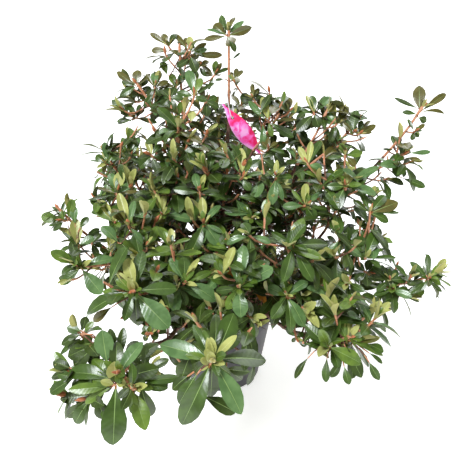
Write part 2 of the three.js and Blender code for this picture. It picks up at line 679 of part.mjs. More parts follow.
// The faces of the knob between two rings of three corners: those that stand on the lower ring are
// followed from the left by their right and top corners, the hanging ones by their bottom and right.
function knobFaces(lower) {
  const upper = lower + TWIG_SIDES;
  const faces = [];
  for (let side = 0; side < TWIG_SIDES; side += 1) {
    const next = (side + 1) % TWIG_SIDES;
    const standing = [lower + side, lower + next, upper + side];
    const hanging = [upper + side, lower + next, upper + next];
    standing.rightCorner = 1;
    hanging.rightCorner = 2;
    faces.push(standing, hanging);
  }
  return faces;
}

// A shoot along a line, three-sided, and its whorl: large leaves spread from the lower part of its
// knob, and young ones stand up from the upper part. Of several turns the fullest is kept.
function shoot(mass, line, radius, axis, others, seed, facing = null) {
  const tried = Array.from({ length: WHORL_TURNS }, (_, attempt) => (
    shootTurned(mass, line, radius, axis, others, drawsFrom(seed + attempt), facing)
  ));
  return tried.reduce((best, other) => (other.fullness > best.fullness ? other : best));
}

function shootTurned(mass, line, radius, axis, others, draw, facing) {
  const end = line[line.length - 1];
  const radii = line.map((_, i) => radius * mix(...TWIG_TAPER, i / line.length));
  radii[line.length - 1] = KNOB_RINGS[0].radius;
  const rings = ringsAlong(line, radii, TWIG_SIDES, draw(0, 2 * Math.PI), facing);
  const last = rings[rings.length - 1];
  const across = last[0].clone().sub(end);
  across.addScaledVector(axis, -across.dot(axis)).normalize();
  KNOB_RINGS.slice(1).forEach(({ height, radius: reach }, i) => {
    const centre = end.clone().addScaledVector(axis, height);
    rings.push(ringRound(centre, axis, across, reach, TWIG_SIDES, (i + 1) * Math.PI / TWIG_SIDES));
  });
  const corners = rings.flat();
  const top = corners.length - TWIG_SIDES;
  const knobFoot = (line.length - 1) * TWIG_SIDES;
  const faces = tubeFaces(line.length, TWIG_SIDES).slice(0, -1);
  faces.push([top, top + 1, top + 2]);
  const probes = [];
  let fullness = 0;
  for (const [band, { leaves, lean: leans, size: sizes, order }] of WHORL.entries()) {
    const sites = knobFaces(knobFoot + band * TWIG_SIDES);
    const first = Math.floor(draw(0, sites.length));
    order.forEach((site, i) => {
      const face = sites[(first + site) % sites.length];
      const lean = radians(draw(...leans));
      const length = mass.leaf * LEAF_SCALE * draw(...sizes);
      const root = face.map((corner) => corners[corner]);
      root.rightCorner = face.rightCorner;
      const leaf = i < leaves && LEAF_TRIES
        .map(({ size, lift }) => leafCorners(root, axis, lean - radians(lift), length * size))
        .find((tried) => fits(leafProbes(tried), mass, others));
      if (!leaf) {
        faces.push(face);
        return;
      }
      const ring = corners.length;
      corners.push(...leaf.ring, leaf.tip);
      for (let edge = 0; edge < 3; edge += 1) {
        const next = (edge + 1) % 3;
        faces.push([face[edge], face[next], ring + next]);
        faces.push([face[edge], ring + next, ring + edge]);
        faces.push([ring + edge, ring + next, ring + 3]);
      }
      probes.push(...leafProbes(leaf));
      fullness += leaf.centre.distanceTo(leaf.tip) / mass.leaf;
    });
  }
  return { fullness, probes, geometry: indexed(corners.flatMap((c) => c.toArray()), faces.flat()) };
}

// A mass of foliage: a stem, the side shoots that leave it turn by turn, and a whorl on each. A side
// shoot that finds no room is shortened, and one that would stay nearly bare is left out.
function foliage(mass, index) {
  const draw = drawsFrom(101 + index);
  const phase = draw(0, 2 * Math.PI);
  const { direction: stemEnd } = endOf(mass.line);
  const seed = 1000 + 100 * index;
  const stem = shoot(mass, mass.line, STEM_RADIUS, stemEnd, [], seed, mass.facing);
  const parts = [stem.geometry];
  const others = [...stem.probes];
  for (let i = 0; i + 1 < mass.shoots; i += 1) {
    const share = i / (mass.shoots - 1);
    const root = pointAlong(mass.line, mix(mass.from, LAST_SHOOT, share));
    const lean = radians(mix(...SHOOT_LEANS, share) + draw(-LEAN_SPREAD, LEAN_SPREAD));
    const turn = phase + GOLDEN_ANGLE * i + draw(-TURN_SPREAD, TURN_SPREAD);
    const outward = leaning(stemEnd, lean, turn).addScaledVector(UP, SHOOT_LIFT).normalize();
    const length = mass.spread * mix(...SHOOT_SIZES, share) * draw(...SIZE_SPREAD);
    const arrival = outward.clone().addScaledVector(UP, SHOOT_TIP_LIFT).normalize();
    const line = SHOOT_TRIES
      .map((size) => twigLine(root, outward, arrival, length * size))
      .find((tried) => [...tried.slice(1), knobTop(tried, arrival)]
        .every((point) => isFree(point, mass, TWIG_RADIUS + SHOOT_CLEARANCE)));
    if (!line) continue;
    const side = shoot(mass, line, TWIG_RADIUS, arrival, others, seed + 10 * (i + 1));
    if (side.fullness < LEAST_FULLNESS) continue;
    parts.push(side.geometry);
    others.push(...side.probes);
  }
  return piece(mass.name, fuse(parts), MATERIALS.foliage);
}

function twigLine(root, outward, arrival, length) {
  const end = root.clone().addScaledVector(outward, length);
  end.addScaledVector(UP, SHOOT_LIFT / 2 * length);
  return bend(root, outward, end, arrival, TWIG_STEPS);
}

function knobTop(line, axis) {
  return line[line.length - 1].clone().addScaledVector(axis, KNOB_RINGS[2].height);
}

// Label and tie.
function labelBow(share) {
  return Math.cos(Math.PI * (share - 0.5));
}

function labelPoint(share, aside) {
  const across = new THREE.Vector3().crossVectors(LABEL_ALONG, new THREE.Vector3(0, 1, 0));
  const bow = labelBow(share) - labelBow(LABEL_HOLE_INSET / LABEL_LENGTH);
  const curl = LABEL_CURL * (bow - (aside / LABEL_WIDTH) ** 2 * 2);
  return LABEL_HEAD.clone().addScaledVector(LABEL_ALONG, LABEL_LENGTH * share)
    .addScaledVector(across, aside)
    .add(new THREE.Vector3(0, -curl, 0));
}

function label() {
  const corners = [];
  for (let i = 0; i <= LABEL_STEPS; i += 1) {
    const share = i / LABEL_STEPS;
    const fullness = Math.sin(Math.PI * mix(...LABEL_ENDS, share)) ** LABEL_BLUNTNESS;
    const halfWidth = LABEL_WIDTH / 2 * Math.max(LABEL_LEAST_WIDTH, fullness);
    const [left, middle, right] = [-1, 0, 1].map((side) => labelPoint(share, side * halfWidth));
    const back = new THREE.Vector3(0, LABEL_THICKNESS, 0);
    corners.push(right, middle, left);
    corners.push(...[left, middle, right].map((corner) => corner.clone().add(back)));
  }
  const blank = indexed(corners.flatMap((c) => c.toArray()), tubeFaces(LABEL_STEPS + 1, 6).flat());
  const through = new THREE.Vector3(0, 2 * LABEL_CURL, 0);
  const hole = limbGeometry(
    [LABEL_HOLE.clone().sub(through), LABEL_HOLE.clone().add(through)],
    [LABEL_HOLE_RADIUS, LABEL_HOLE_RADIUS],
    LABEL_HOLE_SIDES,
  );
  return piece('plant_label', geometryFrom(solidFrom(blank).subtract(solidFrom(hole))), MATERIALS.label);
}

function tie() {
  const middle = TIE_LINE[0].clone().add(TIE_LINE[TIE_STEPS / 2]).multiplyScalar(0.5);
  const rings = TIE_LINE.map((point, i) => {
    const ahead = TIE_LINE[(i + 1) % TIE_STEPS];
    const behind = TIE_LINE[(i + TIE_STEPS - 1) % TIE_STEPS];
    const along = new THREE.Vector3().subVectors(ahead, behind).normalize();
    const across = point.clone().sub(middle);
    across.addScaledVector(along, -across.dot(along)).normalize();
    return ringRound(point, along, across, TIE_RADIUS, TIE_SIDES, 0);
  });
  const faces = [];
  for (let ring = 0; ring < TIE_STEPS; ring += 1) {
    for (let side = 0; side < TIE_SIDES; side += 1) {
      const [a, b] = [side, (side + 1) % TIE_SIDES].map((corner) => ring * TIE_SIDES + corner);
      const [c, d] = [b, a].map((corner) => (corner + TIE_SIDES) % (TIE_STEPS * TIE_SIDES));
      faces.push(a, b, c, a, c, d);
    }
  }
  return piece('label_tie', indexed(rings.flat().flatMap((c) => c.toArray()), faces), MATERIALS.tie);
}

const shrub = new THREE.Group();
shrub.add(pot(), compost(), stool());
for (const bough of BOUGHS) {
  const line = boughLines.get(bough.name);
  const { direction } = stubOf(bough);
  const limb = limbGeometry(line, boughRadii(), BOUGH_SIDES, direction);
  shrub.add(piece(bough.name, limb, MATERIALS.bark));
}
MASSES.forEach((mass, i) => shrub.add(foliage(mass, i)));
shrub.add(label(), tie());

export default shrub;
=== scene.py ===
"""A potted evergreen azalea shrub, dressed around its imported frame.

The boughs, the stems of the masses and their side shoots follow the rule and the seeded draws of
the solids. Every shoot is then carried on to finer twigs, each with its whorl of leaves. Sizes are
in metres, +Z is up and -Y is the front.
"""
from __future__ import annotations

import logging
import math
from dataclasses import dataclass, field
from enum import Enum
from typing import Any, Iterable, NamedTuple

import bpy
import numpy as np
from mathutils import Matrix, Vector, noise


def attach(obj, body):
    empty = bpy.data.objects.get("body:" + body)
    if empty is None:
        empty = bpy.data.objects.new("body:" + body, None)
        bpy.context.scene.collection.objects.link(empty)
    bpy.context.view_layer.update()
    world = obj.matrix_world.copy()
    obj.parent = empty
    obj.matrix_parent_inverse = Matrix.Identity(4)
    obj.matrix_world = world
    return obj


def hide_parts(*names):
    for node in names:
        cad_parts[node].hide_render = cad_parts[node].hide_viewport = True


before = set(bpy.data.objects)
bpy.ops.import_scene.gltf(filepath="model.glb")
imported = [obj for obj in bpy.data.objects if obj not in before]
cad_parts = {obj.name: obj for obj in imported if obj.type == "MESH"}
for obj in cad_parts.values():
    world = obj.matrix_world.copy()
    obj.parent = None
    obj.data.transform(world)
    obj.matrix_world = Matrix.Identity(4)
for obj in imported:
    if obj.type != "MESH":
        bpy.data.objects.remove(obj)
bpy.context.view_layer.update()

LOG = logging.getLogger("azalea")
BODY = "root"

# The photograph's view: a camera at head height that looks down on the front of the crown.
IMAGE_PIXELS = 460
FOCAL_PIXELS = 471
SENSOR_WIDTH = 36.0
CAMERA_PLACE = (0.015, -0.718, 0.667)
CAMERA_PITCH = 27

# A set leaf without a foot starts at this share of the way from its hub to its tip, and one
# without a depth comes nearer by so many millimetres for each pixel that its tip lies lower.
FOOT_SHARE = 0.12
NEARER_PER_PIXEL = 0.4
MILLIMETRES_IN_METRE = 1000

UP = np.array((0.0, 0.0, 1.0))
GOLDEN_ANGLE = math.pi * (3 - math.sqrt(5))


class Slot(Enum):
    """The names of the material slots."""

    POT = "pot"
    COMPOST = "compost"
    BARK = "bark"
    FOLIAGE = "foliage"
    LABEL = "label"
    TIE = "tie"


class Tier(Enum):
    """The height at which a bough's stub leaves the stool: its rise in degrees, height and arm."""

    LOW = (22, 0.015, 0.030)
    MID = (45, 0.025, 0.032)
    HIGH = (64, 0.032, 0.037)


class Tone(Enum):
    """The finishes of a leaf's faces, in the order of a leaf piece's material slots."""

    # DEEP is a darker green: partly the real spread of leaf tones, partly painted shade on leaves inside
    # and behind the crown.
    DEEP = 0
    GREEN = 1
    FRESH = 2
    YOUNG = 3
    YELLOW = 4
    RIB = 5
    YOUNG_RIB = 6
    UNDERSIDE = 7
    YOUNG_UNDERSIDE = 8
    STALK = 9
    OLIVE = 10
    # PALE is a lighter green that paints the sheen of a glossy upper side.
    PALE = 11


@dataclass(frozen=True)
class Bough:
    """One bare bough: the bearing of its stub, and the bearing, reach and height of its tip."""

    name: str
    tier: Tier
    turn: float
    bearing: float
    reach: float
    height: float


@dataclass(frozen=True)
class Mass:
    """One mass of foliage: its bough, the place of its crest, and how its side shoots grow."""

    name: str
    bough: str
    bearing: float
    reach: float
    height: float
    spread: float
    shoots: int
    start: float
    leaf: float


BOUGHS = (
    Bough("bough_front", Tier.LOW, 5, 2, 0.292, 0.300),
    Bough("bough_right_low", Tier.LOW, 45, 36, 0.220, 0.222),
    Bough("bough_right_tip", Tier.LOW, 82, 69, 0.236, 0.238),
    Bough("bough_back_right", Tier.LOW, 135, 133, 0.178, 0.270),
    Bough("bough_back_left", Tier.LOW, 225, 226, 0.182, 0.272),
    Bough("bough_left", Tier.LOW, -72, -64, 0.168, 0.278),
    Bough("bough_front_left", Tier.LOW, -32, -17, 0.290, 0.288),
    Bough("bough_centre_front", Tier.MID, 8, 4, 0.105, 0.282),
    Bough("bough_right_front", Tier.MID, 48, 38, 0.140, 0.262),
    Bough("bough_right_side", Tier.MID, 88, 73, 0.162, 0.300),
    Bough("bough_right_top", Tier.MID, 125, 94, 0.248, 0.400),
    Bough("bough_back", Tier.MID, 182, 180, 0.150, 0.320),
    Bough("bough_left_high", Tier.MID, 262, 265, 0.122, 0.330),
    Bough("bough_left_front", Tier.MID, 318, 332, 0.168, 0.286),
    Bough("bough_centre_up", Tier.HIGH, 0, 5, 0.034, 0.335),
    Bough("bough_right_up", Tier.HIGH, 60, 96, 0.108, 0.375),
    Bough("bough_centre_right", Tier.HIGH, 120, 138, 0.066, 0.405),
    Bough("bough_top_centre", Tier.HIGH, 180, 172, 0.088, 0.455),
    Bough("bough_top_left", Tier.HIGH, 240, 215, 0.118, 0.430),
    Bough("bough_centre_left", Tier.HIGH, 300, 292, 0.050, 0.375),
)

MASSES = (
    Mass("front_rosette", "bough_front", 0, 0.396, 0.373, 0.044, 4, 0.5, 0.053),
    Mass("front_left_rosette", "bough_front_left", -14, 0.382, 0.334, 0.054, 6, 0.4, 0.048),
    Mass("left_low_foliage", "bough_left_front", -19, 0.290, 0.362, 0.050, 4, 0.45, 0.050),
    Mass("left_inner_foliage", "bough_left_front", -14, 0.206, 0.330, 0.044, 4, 0.5, 0.045),
    Mass("left_centre_foliage", "bough_left_front", -38, 0.186, 0.372, 0.048, 5, 0.5, 0.045),
    Mass("left_side_foliage", "bough_left", -59, 0.243, 0.308, 0.046, 5, 0.4, 0.044),
    Mass("left_tip_foliage", "bough_left", -75, 0.252, 0.368, 0.030, 3, 0.5, 0.040),
    Mass("left_front_foliage", "bough_left_high", -61, 0.186, 0.385, 0.048, 5, 0.55, 0.044),
    Mass("left_high_foliage", "bough_left_high", 260, 0.194, 0.428, 0.050, 5, 0.4, 0.042),
    Mass("upper_left_foliage", "bough_top_left", 232, 0.180, 0.522, 0.040, 5, 0.4, 0.040),
    Mass("top_left_foliage", "bough_top_left", 208, 0.150, 0.580, 0.046, 6, 0.4, 0.038),
    Mass("top_centre_foliage", "bough_top_centre", 173, 0.108, 0.606, 0.026, 4, 0.45, 0.038),
    Mass("centre_left_foliage", "bough_centre_left", 284, 0.070, 0.478, 0.056, 6, 0.35, 0.042),
    Mass("centre_high_foliage", "bough_centre_up", 10, 0.062, 0.425, 0.050, 5, 0.4, 0.044),
    Mass("centre_foliage", "bough_centre_front", -16, 0.098, 0.372, 0.046, 5, 0.4, 0.046),
    Mass("centre_low_foliage", "bough_centre_front", 8, 0.214, 0.335, 0.044, 5, 0.5, 0.046),
    Mass("inner_left_foliage", "bough_centre_left", -50, 0.098, 0.392, 0.044, 4, 0.35, 0.044),
    Mass("inner_right_foliage", "bough_centre_up", 52, 0.096, 0.398, 0.044, 4, 0.4, 0.044),
    Mass("upper_right_foliage", "bough_centre_right", 112, 0.098, 0.486, 0.050, 6, 0.4, 0.041),
    Mass("right_high_foliage", "bough_right_up", 104, 0.174, 0.490, 0.050, 6, 0.4, 0.041),
    Mass("right_upper_foliage", "bough_right_up", 100, 0.222, 0.476, 0.046, 5, 0.5, 0.044),
    Mass("right_middle_foliage", "bough_right_side", 66, 0.200, 0.412, 0.048, 5, 0.5, 0.046),
    Mass("right_side_foliage", "bough_right_side", 63, 0.248, 0.340, 0.048, 5, 0.4, 0.045),
    Mass("right_crest_foliage", "bough_right_top", 95, 0.317, 0.502, 0.026, 3, 0.6, 0.042),
    Mass("right_shoulder_foliage", "bough_right_top", 86, 0.280, 0.440, 0.034, 4, 0.4, 0.042),
    Mass("right_centre_foliage", "bough_right_front", 32, 0.186, 0.356, 0.046, 5, 0.5, 0.047),
    Mass("right_inner_foliage", "bough_right_front", 33, 0.208, 0.285, 0.042, 5, 0.4, 0.046),
    Mass("right_tip_foliage", "bough_right_tip", 69, 0.334, 0.284, 0.034, 5, 0.35, 0.043),
    Mass("right_low_foliage", "bough_right_low", 35, 0.292, 0.268, 0.048, 6, 0.35, 0.046),
    Mass("back_left_foliage", "bough_back_left", 233, 0.232, 0.372, 0.058, 6, 0.4, 0.042),
    Mass("back_left_low_foliage", "bough_back_left", 213, 0.262, 0.300, 0.054, 6, 0.4, 0.042),
    Mass("back_right_foliage", "bough_back_right", 128, 0.236, 0.378, 0.058, 6, 0.4, 0.042),
    Mass("back_right_low_foliage", "bough_back_right", 145, 0.262, 0.296, 0.054, 6, 0.4, 0.042),
    Mass("back_high_foliage", "bough_back", 182, 0.200, 0.436, 0.060, 6, 0.4, 0.040),
    Mass("back_low_foliage", "bough_back", 178, 0.264, 0.352, 0.054, 6, 0.4, 0.042),
)


@dataclass(frozen=True)
class Opening:
    """A round place in the picture, in pixels, that the leaves and twigs of the rule keep out of."""

    x: float
    y: float
    radius: float


class SeenLeaf(NamedTuple):
    """A leaf that the picture shows: the pixels of its tip and foot, and its width in millimetres.

    Its foot is just off the hub of its whorl unless one is given, and a foot further off belongs
    to a shoot below. Toward says how much nearer to the viewer than the hub its tip lies.
    """

    x: float
    y: float
    width: float
    tone: Tone
    foot_x: float | None = None
    foot_y: float | None = None
    toward: float | None = None


@dataclass(frozen=True)
class Rosette:
    """A whorl that the picture shows, at the end of a mass's stem: its hub in pixels, its leaves.

    One that stands alone takes the place of its mass's side shoots too.
    """

    x: float
    y: float
    alone: bool
    leaves: tuple[tuple, ...]


@dataclass(frozen=True)
class SeenShoot:
    """A finer shoot that the picture shows: its hub in pixels, and how far it stands out.

    Without leaves of its own it gets those of the rule.
    """

    x: float
    y: float
    nearer: float = 0.01
    leaf: float = 1.0
    leaves: tuple[tuple, ...] = ()


def seen_leaves(whorl: Rosette | SeenShoot) -> tuple[SeenLeaf, ...]:
    """Returns a whorl's leaves, with a foot and a depth for those that are given without.

    Args:
        whorl: the whorl.

    Returns:
        Its leaves, complete.
    """
    leaves = []
    for values in whorl.leaves:
        leaf = SeenLeaf(*values)
        if leaf.foot_x is None:
            leaf = leaf._replace(foot_x=mix(whorl.x, leaf.x, FOOT_SHARE),
                                 foot_y=mix(whorl.y, leaf.y, FOOT_SHARE))
        if leaf.toward is None:
            leaf = leaf._replace(toward=NEARER_PER_PIXEL * (leaf.y - leaf.foot_y))
        leaves.append(leaf)
    return tuple(leaves)


DEEP, GREEN, FRESH, YOUNG, OLIVE, PALE = (
    Tone.DEEP, Tone.GREEN, Tone.FRESH, Tone.YOUNG, Tone.OLIVE, Tone.PALE)

# Places where the sky shows through the crown or beside it.
OPENINGS = tuple(Opening(*row) for row in (
    (97, 138, 9), (72, 172, 10), (88, 218, 7), (54, 197, 8), (50, 262, 7), (49, 278, 7), (386, 108, 11),
    (386, 135, 8), (388, 150, 4), (408, 240, 10), (425, 312, 10), (398, 322, 8), (268, 76, 8),
    (62, 320, 8), (103, 332, 4), (110, 323, 9), (133, 333, 8), (162, 342, 9), (167, 366, 7), (95, 311, 5),
    (139, 185, 5), (192, 228, 5), (159, 256, 5), (160, 243, 4), (281, 250, 4), (321, 233, 6),
    (346, 219, 5), (350, 206, 5), (373, 179, 7), (344, 131, 4), (318, 133, 5), (387, 172, 5),
    (221, 88, 5), (174, 65, 6), (204, 78, 5), (145, 131, 5), (142, 105, 4), (88, 165, 9), (84, 186, 9),
    (84, 206, 7), (70, 296, 9), (278, 338, 12), (281, 362, 14), (268, 396, 16), (254, 70, 9),
    (300, 86, 12), (334, 84, 10), (382, 128, 11), (158, 398, 9), (398, 228, 8), (374, 150, 9),
    (290, 345, 8), (301, 354, 7), (98, 226, 6), (362, 100, 10), (277, 90, 6), (193, 31, 7), (84, 290, 6),
    (317, 87, 5), (120, 132, 5), (388, 230, 5), (398, 257, 6), (407, 266, 5), (437, 252, 5),
    (419, 252, 5), (384, 345, 7), (313, 361, 6), (414, 171, 6), (263, 332, 6), (173, 332, 5),
    (49, 395, 5), (347, 101, 4)))

